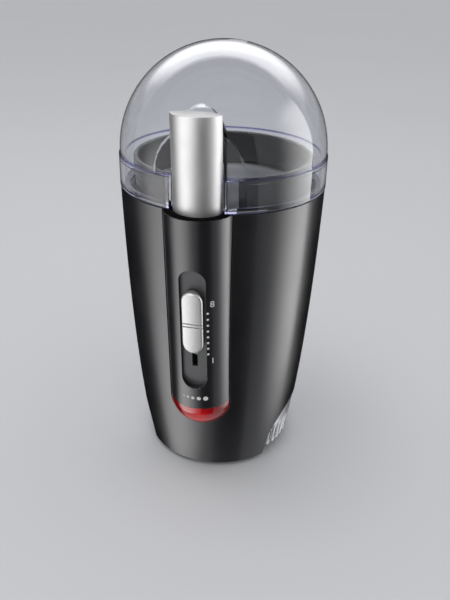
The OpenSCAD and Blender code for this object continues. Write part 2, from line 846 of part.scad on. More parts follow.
module motor_mounts() {
    placed() color(rubber_black) around(4) translate([0, mount_circle, 0])
        ring(mount_r, 1.6, lower_z - mount_h, lower_z);
}

module stator_core() {
    placed() color(lamination) difference() {
        union() {
            difference() {
                intersection() {
                    translate([-stator_w / 2, -stator_d / 2, core_z]) cube([stator_w, stator_d, core_h]);
                    translate([0, 0, core_z]) cylinder(r = stator_round_r, h = core_h);
                }
                translate([-window_half_x, -window_half_y, core_z - 1])
                    cube([2 * window_half_x, 2 * window_half_y, core_h + 2]);
            }
            intersection() {
                ring(shoe_r + shoe_t, shoe_r, core_z, core_top);
                for (side = [-1, 1])
                    translate([side * 20 - 12, -shoe_half, core_z]) cube([24, 2 * shoe_half, core_h]);
            }
            for (side = [-1, 1])
                translate([side * (window_half_x + shoe_r + 1) / 2 - (window_half_x - shoe_r) / 2,
                    -pole_half, core_z])
                    cube([window_half_x - shoe_r, 2 * pole_half, core_h]);
        }
        translate([0, 0, core_z - 1]) cylinder(r = shoe_r, h = core_h + 2);
        at_ties() translate([0, 0, core_z - 1]) cylinder(r = tie_hole_r, h = core_h + 2);
    }
}

module field_coil(side) {
    from = shoe_r + shoe_t + coil_gap;
    to = window_half_x - coil_gap;
    placed() color(copper) translate([side * (from + to) / 2 - (to - from) / 2, 0, 0]) difference() {
        translate([0, -coil_half, core_z - coil_over + coil_gap])
            cube([to - from, 2 * coil_half, core_h + 2 * (coil_over - coil_gap)]);
        translate([-1, -pole_half - coil_gap, core_z - coil_gap])
            cube([to - from + 2, 2 * (pole_half + coil_gap), core_h + 2 * coil_gap]);
    }
}

module field_coil_left() { field_coil(-1); }
module field_coil_right() { field_coil(1); }

module motor_screws() {
    head_z = upper_z + bracket_t;
    placed() color(steel) at_ties() {
        translate([0, 0, head_z]) cylinder(r = 3.8, h = 2.4);
        translate([0, 0, lower_z - 4]) cylinder(r = tie_r, h = head_z - lower_z + 4 + eps);
        translate([0, 0, lower_z - 3]) cylinder(r = 3.8, h = 3, $fn = 6);
    }
}

module brush_holder(side) {
    half = brush_half + holder_wall;
    placed() color("#b08d4a") rotate([0, 0, side < 0 ? 180 : 0]) difference() {
        union() {
            translate([holder_x, -half, brush_z - half]) cube([holder_l, 2 * half, 2 * half]);
            translate([holder_x + 3, -half, lower_z + bracket_t])
                cube([8, 2 * half, brush_z - half - lower_z - bracket_t + eps]);
        }
        translate([holder_x - 1, -brush_half - 0.1, brush_z - brush_half - 0.1])
            cube([holder_l, 2 * brush_half + 0.2, 2 * brush_half + 0.2]);
    }
}

module brush_holder_left() { brush_holder(-1); }
module brush_holder_right() { brush_holder(1); }

module carbon_brush(side) {
    placed() color(rubber_black) rotate([0, 0, side < 0 ? 180 : 0]) difference() {
        translate([commutator_r - 1, -brush_half, brush_z - brush_half])
            cube([brush_l, 2 * brush_half, 2 * brush_half]);
        translate([0, 0, brush_z - 5]) cylinder(r = commutator_r + run_gap, h = 10);
    }
}

module carbon_brush_left() { carbon_brush(-1); }
module carbon_brush_right() { carbon_brush(1); }

// ---------------------------------------------------------------- electrics in the column

module circuit_board() {
    placed() color("#1f5a3a") on_column()
        translate([-board_half, board_front, board_s]) cube([2 * board_half, board_t, board_top - board_s]);
}

module slide_potentiometer() {
    placed() color(lamination) on_column() difference() {
        translate([-pot_half, pot_front, pot_s]) cube([2 * pot_half, board_front - pot_front, pot_top - pot_s]);
        translate([-slot_w / 2, pot_front - 1, pot_s + pot_margin - 0.6])
            cube([slot_w, lever_tip - pot_front + 1.4, pot_top - pot_s - 2 * pot_margin + 1.2]);
    }
}

module mains_switch() {
    placed() color("#2c2c30") on_column() difference() {
        union() {
            translate([-switch_half, board_back, board_top - switch_lap])
                cube([2 * switch_half, switch_d, switch_top - board_top + switch_lap]);
            translate([-switch_half, -stem_ahead - switch_d / 2, board_top + eps])
                cube([2 * switch_half, switch_d, switch_top - board_top - eps]);
        }
        translate([0, -stem_ahead, switch_top - plunger_depth - button_travel - 0.5])
            cylinder(r = plunger_r + run_gap, h = far);
    }
}

module run_light() {
    placed() color("#ff4030") on_column() translate([0, board_front - light_r, light_s]) {
        cylinder(r = light_r, h = board_s - light_s + 4);
        sphere(r = light_r);
    }
}

// ---------------------------------------------------------------- lid

// The space that the flat front and the button's channel take out of the lid
module lid_front(grow) {
    translate([-far / 2, -far, band_top]) cube([far, far - flat_y + grow, far]);
    translate([-channel_half - grow, -far, 0]) cube([2 * (channel_half + grow), far - flat_y, far]);
    intersection() {
        translate([0, -channel_axis_y, 0]) cylinder(r = channel_r + grow, h = far, $fn = 128);
        translate([-channel_half - grow, -far / 2, 0]) cube([2 * (channel_half + grow), far / 2, far]);
    }
}

// A dome with a short straight neck, solid, from a height up
module domed_block(r, from) {
    rotate_extrude($fn = 96) {
        translate([0, from]) square([r, dome_z - from]);
        intersection() {
            translate([0, dome_z]) circle(r = r);
            translate([0, dome_z]) square([r + 1, r + 1]);
        }
    }
}

module clear_lid() {
    placed() color([0.85, 0.87, 0.92, 0.35]) difference() {
        union() {
            translate([0, 0, lid_z]) cylinder(r = band_r, h = band_top - lid_z, $fn = 128);
            domed_block(dome_r, band_top - 1);
            difference() {
                translate([0, 0, lid_z - lip_h]) cylinder(r = lip_r, h = lip_h + lip_t);
                translate([-far / 2, -far, 0]) cube([far, far - lip_clear_y, far]);
            }
        }
        difference() {
            union() {
                translate([0, 0, lid_z - 5]) cylinder(r = lip_r - lip_t, h = 5 + lip_t + eps, $fn = 128);
                translate([0, 0, lid_z + lip_t])
                    cylinder(r = band_inner_r, h = band_top - lid_z - lip_t - lid_wall, $fn = 128);
                domed_block(dome_inner_r, lid_z + lip_t);
            }
            translate([-far / 2, -far, 0]) cube([far, far - flat_y + lid_wall, far]);
            lid_front(lid_wall);
        }
        lid_front(0);
    }
}

// ---------------------------------------------------------------- push button

module start_button() {
    round_s = button_top - button_round;
    placed() color(silver) on_column() difference() {
        intersection() {
            rotate_extrude($fn = 128) polygon(concat(
                [[0, button_s], [button_r, button_s]],
                arc(button_top_r - button_round, round_s, button_round, 0, 90, 5),
                [[0, button_top]]
            ));
            translate([0, button_back - button_back_r, 0]) {
                cylinder(r = button_back_r, h = round_s, $fn = 128);
                translate([0, 0, round_s])
                    cylinder(r1 = button_back_r, r2 = button_back_r - button_round, h = button_round, $fn = 128);
            }
        }
        difference() {
            button_bar(button_r, button_top_r, -button_wall, button_s - 1, button_ceiling);
            translate([0, -stem_ahead, button_ceiling - boss_l])
                cylinder(r = stem_r + boss_t, h = boss_l + 1);
        }
        translate([0, -stem_ahead, button_s - 1]) cylinder(r = stem_r + 0.05, h = button_ceiling - button_s + 1);
    }
}

module button_stem() {
    placed() color(panel_grey) on_stem() {
        translate([0, 0, stem_s]) cylinder(r = stem_r, h = button_ceiling - stem_s);
        translate([0, 0, spring_seat_s]) cylinder(r = spring_r + spring_wire_r, h = spring_seat_t);
    }
}

// A round wire swept along a helix
module helix(r, wire, height, turns) {
    per_turn = 16;
    sides = 6;
    rings = turns * per_turn;
    points = [
        for (i = [0:rings], k = [0:sides - 1])
            let (a = i * 360 / per_turn, b = k * 360 / sides, d = r + wire * cos(b))
            [d * cos(a), d * sin(a), height * i / rings + wire * sin(b)]
    ];
    sides_faces = [
        for (i = [0:rings - 1], k = [0:sides - 1])
            let (n = (k + 1) % sides)
            [i * sides + k, i * sides + n, (i + 1) * sides + n, (i + 1) * sides + k]
    ];
    start_face = [for (k = [sides - 1:-1:0]) k];
    end_face = [for (k = [0:sides - 1]) rings * sides + k];
    polyhedron(points, concat(sides_faces, [start_face, end_face]), convexity = 8);
}

module button_spring() {
    placed() color(steel) on_stem() translate([0, 0, spring_s + spring_wire_r + 0.05])
        helix(spring_r, spring_wire_r, spring_seat_s - spring_s - 2 * spring_wire_r - 0.1, spring_turns);
}

module switch_plunger() {
    foot = switch_top - plunger_depth;
    placed() color("#e6e6e6") on_stem() translate([0, 0, foot]) cylinder(r = plunger_r, h = plunger_top - foot);
}

// ---------------------------------------------------------------- grain slider

// A pill that narrows by slope all round towards its front
module tapered_pill(half, lo, hi, y_front, y_back, slope) {
    for (s = [lo + half, hi - half]) translate([0, y_front, s]) rotate([-90, 0, 0])
        cylinder(r1 = half - slope, r2 = half, h = y_back - y_front);
    translate([0, 0, lo + half]) linear_extrude(hi - lo - 2 * half)
        polygon([[slope - half, y_front], [half - slope, y_front], [half, y_back], [-half, y_back]]);
}

module slider_knob() {
    lo = knob_s - knob_l / 2;
    hi = knob_s + knob_l / 2;
    face_r = col_r + knob_proud;
    side_y = -sqrt(pow(face_r, 2) - pow(knob_half, 2));
    placed() color(silver) on_column() difference() {
        intersection() {
            union() {
                pill(knob_half, lo, hi, side_y + knob_edge, knob_floor);
                tapered_pill(knob_half, lo, hi, -face_r - eps, side_y + knob_edge, knob_edge);
            }
            translate([0, 0, lo - 1]) cylinder(r = face_r, h = knob_l + 2, $fn = 128);
        }
        translate([-knob_half - 1, -col_r - knob_proud - 1, knob_s - knob_groove_w / 2])
            cube([2 * knob_half + 2, knob_groove_d + 1, knob_groove_w]);
    }
}

module slider_lever() {
    placed() color(panel_grey) on_column()
        translate([-lever_half_w, knob_floor, knob_s - lever_half])
            cube([2 * lever_half_w, lever_tip - knob_floor, 2 * lever_half]);
}

// ---------------------------------------------------------------- rotor

module drive_shaft() {
    placed() color(steel) {
        translate([0, 0, shaft_z]) cylinder(r = shaft_r, h = blade_base - shaft_z);
        translate([0, 0, bowl_floor + seal_flange_t + run_gap])
            cylinder(r = shoulder_r, h = blade_base - bowl_floor - seal_flange_t - run_gap);
        translate([0, 0, blade_base - eps]) cylinder(r = thread_r, h = shaft_top - blade_base + eps);
    }
}

module armature_core() {
    placed() color(lamination) difference() {
        translate([0, 0, core_z]) cylinder(r = armature_r, h = core_h);
        translate([0, 0, core_z - 1]) cylinder(r = shaft_r + 0.05, h = core_h + 2);
        around(slot_count) {
            translate([0, armature_r - 3.4, core_z - 1]) cylinder(r = 1.7, h = core_h + 2);
            translate([-0.6, armature_r - 3.4, core_z - 1]) cube([1.2, 5, core_h + 2]);
        }
    }
}

module armature_winding() {
    outer = armature_r - 2.4;
    placed() color(copper) {
        ring(outer, shaft_r + 0.3, core_top + 0.05, core_top + coil_over);
        ring(outer, shaft_r + 0.3, core_z - coil_over + 1, core_z - 0.05);
    }
}

module commutator() {
    placed() color("#c07a45") difference() {
        ring(commutator_r, shaft_r + 0.05, commutator_z, commutator_z + commutator_h + 0.9);
        around(16) translate([-0.2, commutator_r - 1, commutator_z - 1]) cube([0.4, 3, commutator_h]);
    }
}

module cooling_fan() {
    placed() color(panel_grey) difference() {
        union() {
            translate([0, 0, fan_z]) cylinder(r = 6, h = fan_h);
            translate([0, 0, fan_z]) cylinder(r = fan_r, h = 1.4);
            around(fan_blades) translate([0, 5, fan_z]) rotate([0, 0, 20])
                cube([1.2, fan_r - 7, fan_h]);
        }
        translate([0, 0, fan_z - 1]) cylinder(r = shaft_r + 0.05, h = fan_h + 2);
    }
}

module grinding_blade() {
    wing_l = blade_r - blade_bend;
    up = [blade_bend + wing_l * cos(wing_up), wing_l * sin(wing_up)];
    down = [-blade_bend - wing_l * cos(wing_down), -wing_l * sin(wing_down)];
    placed() color(steel) difference() {
        intersection() {
            translate([0, blade_w / 2, blade_base]) rotate([90, 0, 0]) linear_extrude(blade_w) polygon([
                down, [-blade_bend, 0], [blade_bend, 0], up,
                up + [0, blade_t], [blade_bend, blade_t], [-blade_bend, blade_t], down + [0, blade_t]
            ]);
            translate([0, 0, blade_base - 5]) cylinder(r = blade_r - 1, h = 20);
        }
        translate([0, 0, blade_base - 1]) cylinder(r = thread_r + 0.05, h = 4);
    }
}

module blade_nut() {
    placed() color(steel) translate([0, 0, blade_base + blade_t]) difference() {
        cylinder(r = nut_r, h = nut_h, $fn = 6);
        translate([0, 0, -1]) cylinder(r = thread_r + 0.05, h = nut_h + 2);
    }
}

// ---------------------------------------------------------------- all nodes

outer_shell();
control_column();
slider_plate();
indicator_lens();
base_ring();
bottom_plate();
rubber_foot_1();
rubber_foot_2();
rubber_foot_3();
rubber_foot_4();
base_screws();
cord_inlet();
chamber_deck();
grinding_bowl();
bowl_seal();
bowl_screws();
shaft_seal();
upper_bracket();
lower_bracket();
upper_bearing();
lower_bearing();
motor_mounts();
stator_core();
field_coil_left();
field_coil_right();
motor_screws();
brush_holder_left();
brush_holder_right();
carbon_brush_left();
carbon_brush_right();
circuit_board();
slide_potentiometer();
mains_switch();
run_light();
clear_lid();
start_button();
button_stem();
button_spring();
switch_plunger();
slider_knob();
slider_lever();
drive_shaft();
armature_core();
armature_winding();
commutator();
cooling_fan();
grinding_blade();
blade_nut();
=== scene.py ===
"""Electric spice grinder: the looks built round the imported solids.

Metres, Z up. The control column faces -Y. The body's axis stands AXIS_Y behind
the origin, which is the middle of the overall outline on the table. The sizes in
the classes are in millimetres and start from the axis that the piece is put on.
"""

import logging
import math
from contextlib import contextmanager
from dataclasses import dataclass, field
from enum import Enum
from typing import Any, Callable, Iterable, Iterator, Sequence

import bmesh
import bpy
from mathutils import Matrix, Vector


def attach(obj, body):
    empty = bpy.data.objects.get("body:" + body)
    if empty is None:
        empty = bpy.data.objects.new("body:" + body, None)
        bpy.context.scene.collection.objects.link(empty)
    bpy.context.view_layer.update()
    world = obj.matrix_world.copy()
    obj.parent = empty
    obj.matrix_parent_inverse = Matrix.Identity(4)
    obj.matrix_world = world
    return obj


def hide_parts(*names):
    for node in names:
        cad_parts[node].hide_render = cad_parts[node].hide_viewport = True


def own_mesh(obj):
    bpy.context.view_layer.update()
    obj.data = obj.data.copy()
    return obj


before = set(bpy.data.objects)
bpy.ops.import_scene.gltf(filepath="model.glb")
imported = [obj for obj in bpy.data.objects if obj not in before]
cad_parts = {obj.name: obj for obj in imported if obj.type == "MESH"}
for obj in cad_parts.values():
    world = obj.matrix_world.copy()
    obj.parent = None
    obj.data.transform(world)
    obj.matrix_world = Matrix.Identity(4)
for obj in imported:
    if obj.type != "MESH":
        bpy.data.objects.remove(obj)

LOG = logging.getLogger("spice_grinder")

Point = tuple[float, float]
Triple = tuple[float, float, float]
Piece = bpy.types.Object
Material = bpy.types.Material
Tree = bpy.types.NodeTree
Node = bpy.types.Node
Socket = bpy.types.NodeSocket

MM = 0.001
# A cutter reaches this far where its end doesn't matter.
FAR = 100.0
# A piece reaches this far past a cut that trims it.
SPARE = 10.0
# Points nearer than this are the same point.
SAME = 1e-3

# The column's axis leans outwards by LEAN and meets the rim's plane COLUMN_TOP_Y in front of the body's axis.
LEAN = math.radians(4.35)
COLUMN_R = 16.2
COLUMN_TOP_Y = 43.5
RIM_Z = 147.5
LENS_Z = 46.3
LID_R = 50.0
AXIS_Y = (COLUMN_TOP_Y + COLUMN_R / math.cos(LEAN) - LID_R) / 2
COLUMN_FOOT_Y = COLUMN_TOP_Y - (RIM_Z - LENS_Z) * math.tan(LEAN)
COLUMN_L = (RIM_Z - LENS_Z) / math.cos(LEAN)
COLUMN_FOOT = Vector((0, AXIS_Y - COLUMN_FOOT_Y, LENS_Z))
# The lamps and the cards face this point.
MIDDLE = Vector((0, AXIS_Y, 100.0))
# The button's back is a bow of radius BACK_R that reaches BACK_Y behind the column's axis.
BACK_R = 13.9
BACK_Y = 2.6

# Steps in the full turn of a small, a middling and a large round shape.
SMALL_TURN = 128
TURN = 160
LARGE_TURN = 192

# Settings that several nodes share.
COLOURS = {"data_type": "RGBA"}
EASED = {"interpolation_type": "SMOOTHSTEP"}
# A wave texture repeats after this many of its units.
WAVE_UNITS = 0.314
# A digit's height as a share of its font's size.
DIGIT_SHARE = 0.7


# ---- choices


class Place(Enum):
    """The axis that a piece is modelled round before it is set in place."""

    BODY = "body"
    COLUMN = "column"


class Cut(Enum):
    """What one solid does to another."""

    TAKE_AWAY = "DIFFERENCE"
    KEEP_COMMON = "INTERSECT"
    JOIN = "UNION"


# ---- workbench


def wipe_selection() -> None:
    """Deselects every object and leaves edit mode."""
    if bpy.context.object is not None and bpy.context.object.mode != "OBJECT":
        bpy.ops.object.mode_set(mode="OBJECT")
    bpy.ops.object.select_all(action="DESELECT")


def take(piece: Piece) -> Piece:
    """Makes a piece the only selected and the active object.

    Args:
        piece: the object to work on.

    Returns:
        The same object.
    """
    wipe_selection()
    piece.select_set(True)
    bpy.context.view_layer.objects.active = piece
    return piece


def pick(piece: Piece, test: Callable[[Vector], bool]) -> None:
    """Selects the vertices, in edit mode, whose place passes a test.

    Args:
        piece: the object in edit mode.
        test: takes a vertex's place in millimetres and says whether to select it.
    """
    bpy.ops.mesh.select_all(action="DESELECT")
    mesh = bmesh.from_edit_mesh(piece.data)
    for vertex in mesh.verts:
        vertex.select = test(vertex.co / MM)
    mesh.select_flush(True)
    bmesh.update_edit_mesh(piece.data)


def named(piece: Piece, name: str) -> Piece:
    """Names an object and its mesh.

    Args:
        piece: the object.
        name: the plain name.

    Returns:
        The same object.
    """
    piece.name = name
    piece.data.name = name
    return piece


@contextmanager
def editing(piece: Piece) -> Iterator[None]:
    """Opens a piece in edit mode, with all of it selected, and leaves edit mode at the end.

    Args:
        piece: the object.

    Returns:
        The context that holds it open.
    """
    take(piece)
    bpy.ops.object.mode_set(mode="EDIT")
    bpy.ops.mesh.select_all(action="SELECT")
    yield
    bpy.ops.object.mode_set(mode="OBJECT")


def tidy(piece: Piece, merge_mm: float = 0.002) -> Piece:
    """Merges doubles and turns the faces outwards.

    Args:
        piece: the object.
        merge_mm: the distance under which vertices are merged.

    Returns:
        The same object.
    """
    with editing(piece):
        bpy.ops.mesh.remove_doubles(threshold=merge_mm * MM)
        bpy.ops.mesh.normals_make_consistent(inside=False)
    return piece


def settle(piece: Piece) -> Piece:
    """Puts an object's place, turn and scale into its mesh.

    Args:
        piece: the object.

    Returns:
        The same object.
    """
    take(piece)
    bpy.ops.object.transform_apply(location=True, rotation=True, scale=True)
    return piece


def made(name: str, primitive: Callable[..., set[str]], **settings: Any) -> Piece:
    """Adds a primitive to be modelled further.

    Args:
        name: the piece's name.
        primitive: the operator that adds it.
        settings: the operator's own settings.

    Returns:
        The piece, with its place in its mesh.
    """
    wipe_selection()
    primitive(**settings)
    return settle(named(bpy.context.object, name))


def turned(name: str, outline: Sequence[Point], steps: int = SMALL_TURN) -> Piece:
    """Spins a closed outline a full turn round the Z axis.

    Args:
        name: the piece's name.
        outline: points (radius, height) in millimetres, in order.
        steps: the number of steps in the turn.

    Returns:
        The solid, round the world's Z axis.
    """
    points = [Vector((radius, 0, height)) for radius, height in outline]
    piece = made(name, bpy.ops.mesh.primitive_plane_add, size=MM)
    with editing(piece):
        bpy.ops.mesh.merge(type="CENTER")
        bpy.ops.transform.translate(value=points[0] * MM)
        for here, there in zip(points, points[1:]):
            bpy.ops.mesh.extrude_vertices_move(TRANSFORM_OT_translate={"value": (there - here) * MM})
        if max(points[0].x, points[-1].x) > SAME:
            ends = points[0], points[-1]
            pick(piece, lambda co: min((co - end).length for end in ends) < SAME)
            bpy.ops.mesh.edge_face_add()
        bpy.ops.mesh.select_all(action="SELECT")
        bpy.ops.mesh.spin(steps=steps, angle=2 * math.pi, center=(0, 0, 0), axis=(0, 0, 1))
    return tidy(piece)


def rod(name: str, radius: float, low: float, high: float, steps: int = SMALL_TURN) -> Piece:
    """Makes a round bar on the Z axis, between two heights."""
    return turned(name, [(0, low), (radius, low), (radius, high), (0, high)], steps)


def block(name: str, low: Sequence[float], high: Sequence[float]) -> Piece:
    """Adds a box between two corners.

    Args:
        name: the piece's name.
        low: its lowest corner in millimetres.
        high: its highest corner in millimetres.

    Returns:
        The box, with its place in its mesh.
    """
    piece = made(name, bpy.ops.mesh.primitive_cube_add, size=1)
    piece.location = [(a + b) / 2 * MM for a, b in zip(low, high)]
    piece.scale = [(b - a) * MM for a, b in zip(low, high)]
    return settle(piece)


def twin(piece: Piece, name: str, rise_mm: float) -> Piece:
    """Copies a piece, with its own mesh, and lifts the copy.

    Args:
        piece: the piece to copy.
        name: the copy's name.
        rise_mm: the distance by which the copy is lifted.

    Returns:
        The copy.
    """
    take(piece)
    bpy.ops.object.duplicate(linked=False)
    copy = named(bpy.context.object, name)
    copy.location.z += rise_mm * MM
    return settle(copy)


def put(piece: Piece, place: Place = Place.COLUMN) -> Piece:
    """Moves a piece from its own axis to the body's or the column's axis.

    Args:
        piece: the object, modelled round the world's Z axis.
        place: the axis that it belongs to.

    Returns:
        The same object, with its place in its mesh.
    """
    if place is Place.COLUMN:
        piece.rotation_euler = (LEAN, 0, 0)
        piece.location = COLUMN_FOOT * MM
    else:
        piece.location = (0, AXIS_Y * MM, 0)
    return settle(piece)


def shape(piece: Piece, other: Piece, cut: Cut = Cut.TAKE_AWAY) -> Piece:
    """Cuts or joins a piece with another solid, which is used up.

    Args:
        piece: the object that stays.
        other: the object that shapes it.
        cut: what the other solid does.

    Returns:
        The shaped piece.
    """
    take(piece)
    modifier = piece.modifiers.new("shape", "BOOLEAN")
    modifier.operation = cut.value
    modifier.solver = "EXACT"
    modifier.object = other
    bpy.ops.object.modifier_apply(modifier=modifier.name)
    bpy.data.objects.remove(other)
    return piece


def bow_back(piece: Piece, gap: float, steps: int) -> Piece:
    """Trims the back of an upright bar to the bow of the button's back.

    Args:
        piece: the bar.
        gap: the distance by which the bow is made larger.
        steps: the number of steps in the bow's full turn.

    Returns:
        The same bar.
    """
    bow = rod("bow", BACK_R + gap, -FAR, 3 * FAR, steps)
    bow.location.y = (BACK_Y - BACK_R) * MM
    return shape(piece, settle(bow), Cut.KEEP_COMMON)


def slice_off(piece: Piece, point: Sequence[float], normal: Sequence[float]) -> Piece:
    """Cuts away what lies beyond a plane and closes the cut.

    Args:
        piece: the object.
        point: a point of the plane in millimetres.
        normal: the direction that is cut away.

    Returns:
        The same object.
    """
    with editing(piece):
        bpy.ops.mesh.bisect(
            plane_co=[v * MM for v in point], plane_no=normal, use_fill=True, clear_outer=True, threshold=1e-6
        )
    return piece


def round_edges(piece: Piece, width_mm: float, segments: int, angle: float) -> Piece:
    """Rounds the sharp edges of a piece.

    Args:
        piece: the object.
        width_mm: the width of the rounding.
        segments: the number of faces across it.
        angle: the least angle in degrees between two faces at an edge that is rounded.

    Returns:
        The same object.
    """
    take(piece)
    modifier = piece.modifiers.new("edge", "BEVEL")
    modifier.width = width_mm * MM
    modifier.segments = segments
    modifier.limit_method = "ANGLE"
    modifier.angle_limit = math.radians(angle)
    modifier.use_clamp_overlap = True
    bpy.ops.object.modifier_apply(modifier=modifier.name)
    return piece


def arc(cx: float, cy: float, r: float, start: float, end: float, steps: int) -> list[Point]:
    """Gives the points of an arc round (cx, cy), both ends included, from its angles in degrees."""
    angles = [math.radians(start + (end - start) * i / steps) for i in range(steps + 1)]
    return [(cx + r * math.cos(a), cy + r * math.sin(a)) for a in angles]


def pill_solid(name: str, half: float, low: float, high: float, front: float, back: float) -> Piece:
    """Makes a straight-sided pill in the XZ plane, deep along Y.

    Args:
        name: the piece's name.
        half: half its width in millimetres.
        low: the height of its lower end.
        high: the height of its upper end.
        front: the depth of its front face.
        back: the depth of its back face.

    Returns:
        The pill.
    """
    piece = made(
        name, bpy.ops.mesh.primitive_circle_add, vertices=64, radius=half * MM, fill_type="NGON",
        location=(0, front * MM, (low + half) * MM), rotation=(math.pi / 2, 0, 0),
    )
    with editing(piece):
        pick(piece, lambda co: co.z > low + half + SAME)
        bpy.ops.transform.translate(value=(0, 0, (high - low - 2 * half) * MM))
        bpy.ops.mesh.select_all(action="SELECT")
        bpy.ops.mesh.extrude_region_move(TRANSFORM_OT_translate={"value": (0, (back - front) * MM, 0)})
    return tidy(piece)


def wrap(piece: Piece, radius: float) -> Piece:
    """Bends a flat piece, seen in the XZ plane, round the column's axis.

    Args:
        piece: the object; its X is the arc length and its Y the depth behind the radius.
        radius: the radius in millimetres that Y = 0 comes to lie on.

    Returns:
        The same object.
    """
    for vertex in piece.data.vertices:
        x, y, z = vertex.co
        turn = x / (radius * MM)
        depth = radius * MM - y
        vertex.co = (depth * math.sin(turn), -depth * math.cos(turn), z)
    piece.data.update()
    return piece


# ---- colours and nodes


def linear(code: str) -> tuple[float, float, float, float]:
    """Turns an sRGB hex colour to linear.

    Args:
        code: six hex digits.

    Returns:
        Red, green, blue and alpha.
    """
    parts = [int(code[i:i + 2], 16) / 255 for i in (0, 2, 4)]
    rgb = [v / 12.92 if v <= 0.04045 else ((v + 0.055) / 1.055) ** 2.4 for v in parts]
    return rgb[0], rgb[1], rgb[2], 1.0


def add(tree: Tree, kind: str, settings: dict | None = None, inputs: dict | None = None) -> Node:
    """Adds a node with its settings, values and links.

    Args:
        tree: the tree of a material, a lamp or the world.
        kind: the node's type, without the ShaderNode that all of them start with.
        settings: the node's own properties.
        inputs: for each input's name or number a value, a colour's hex digits, an output socket, or a node
            for its first output.

    Returns:
        The node.
    """
    node = tree.nodes.new("ShaderNode" + kind)
    for key, value in (settings or {}).items():
        setattr(node, key, value)
    for key, value in (inputs or {}).items():
        if isinstance(value, str):
            value = linear(value)
        if isinstance(value, Node):
            value = value.outputs[0]
        if isinstance(value, Socket):
            tree.links.new(value, node.inputs[key])
        else:
            node.inputs[key].default_value = value
    return node


def start(name: str) -> tuple[Material, Tree, Socket]:
    """Starts a material.

    Args:
        name: the material's name.

    Returns:
        The material, its empty tree and a socket with the piece's own coordinates.
    """
    material = bpy.data.materials.new(name)
    material.use_nodes = True
    tree = material.node_tree
    tree.nodes.clear()
    return material, tree, add(tree, "TexCoord").outputs["Object"]


def close(
    material: Material, inputs: dict[str, Any], height: Node | Socket | None = None,
    strength: float = 0.0, depth_mm: float = 0.0, edge_mm: float = 0.0,
) -> Material:
    """Ends a material with its shader, its raised pattern and its softened edges.

    Args:
        material: the material.
        inputs: the shader's values and links.
        height: what gives the raised pattern.
        strength: the share of the pattern's depth that shows.
        depth_mm: the pattern's depth.
        edge_mm: the width of the softened edges, 0 for sharp ones.

    Returns:
        The same material.
    """
    tree = material.node_tree
    if height is not None:
        bump = {"Height": height, "Strength": strength, "Distance": depth_mm * MM}
        if edge_mm:
            bump["Normal"] = add(tree, "Bevel", {"samples": 4}, {"Radius": edge_mm * MM})
        inputs["Normal"] = add(tree, "Bump", inputs=bump)
    add(tree, "OutputMaterial", inputs={"Surface": add(tree, "BsdfPrincipled", inputs=inputs)})
    return material


def mottle(
    tree: Tree, place: Socket, size_mm: float, detail: float, pair: Sequence[str]
) -> tuple[Node, Socket]:
    """Lets a surface drift between two colours in clouds.

    Args:
        tree: the material's tree.
        place: the socket with the coordinates.
        size_mm: the size of a cloud.
        detail: how finely the clouds break up.
        pair: the two colours.

    Returns:
        The clouds and the colour.
    """
    clouds = add(tree, "TexNoise", inputs={"Vector": place, "Scale": 1 / (size_mm * MM), "Detail": detail})
    tint = add(tree, "Mix", COLOURS, {0: clouds, 6: pair[0], 7: pair[1]})
    return clouds, tint.outputs[2]


# ---- finishes


@dataclass(frozen=True)
class MouldedPlastic:
    """Moulded plastic: a fine spark-eroded grain that softens the reflections."""

    name: str
    colour: str
    worn: str
    roughness: float = 0.34
    grain_mm: float = 0.35
    grain_depth: float = 0.02
    edge_mm: float = 0.3
    coat: float = 0.0
    haze_mm: float = 25.0

    def build(self) -> Material:
        """Builds the material.

        Returns:
            The material.
        """
        material, tree, place = start(self.name)
        # The gloss changes slowly, as handling leaves it.
        haze, tint = mottle(tree, place, self.haze_mm, 3.0, (self.colour, self.worn))
        gloss = add(tree, "MapRange", inputs={
            "Value": haze, "From Min": 0.3, "From Max": 0.7,
            "To Min": self.roughness - 0.03, "To Max": self.roughness + 0.04,
        })
        grain = add(tree, "TexNoise", inputs={
            "Vector": place, "Scale": 1 / (self.grain_mm * MM), "Detail": 2.0, "Roughness": 0.6,
        })
        return close(material, {
            "Base Color": tint, "Roughness": gloss, "IOR": 1.54,
            "Coat Weight": self.coat, "Coat Roughness": 0.12,
        }, height=grain, strength=0.25, depth_mm=self.grain_depth, edge_mm=self.edge_mm)


@dataclass(frozen=True)
class SilverLacquer:
    """Silver lacquer on plastic: fine aluminium flake under a satin clear coat."""

    name: str
    colour: str = "b8b7b7"
    flake: str = "a5a4a4"
    roughness: float = 0.48
    flake_mm: float = 0.12
    cloud_mm: float = 5.56
    edge_mm: float = 0.3

    def build(self) -> Material:
        """Builds the material.

        Returns:
            The material.
        """
        material, tree, place = start(self.name)
        # Flake is under 0.05 mm on the real piece and is drawn coarser so that it shows.
        flakes = add(tree, "TexVoronoi", inputs={"Vector": place, "Scale": 1 / (self.flake_mm * MM)})
        tint = add(tree, "Mix", COLOURS, {0: flakes, 6: self.colour, 7: self.flake})
        cloud = add(
            tree, "TexNoise", inputs={"Vector": place, "Scale": 1 / (self.cloud_mm * MM), "Detail": 4.0}
        )
        gloss = add(tree, "MapRange", inputs={
            "Value": cloud, "From Min": 0.3, "From Max": 0.7,
            "To Min": self.roughness - 0.03, "To Max": self.roughness + 0.05,
        })
        return close(material, {
            "Base Color": tint.outputs[2], "Metallic": 0.85, "Roughness": gloss,
            "Coat Weight": 0.1, "Coat Roughness": 0.3,
        }, height=flakes, strength=0.12, depth_mm=0.01, edge_mm=self.edge_mm)


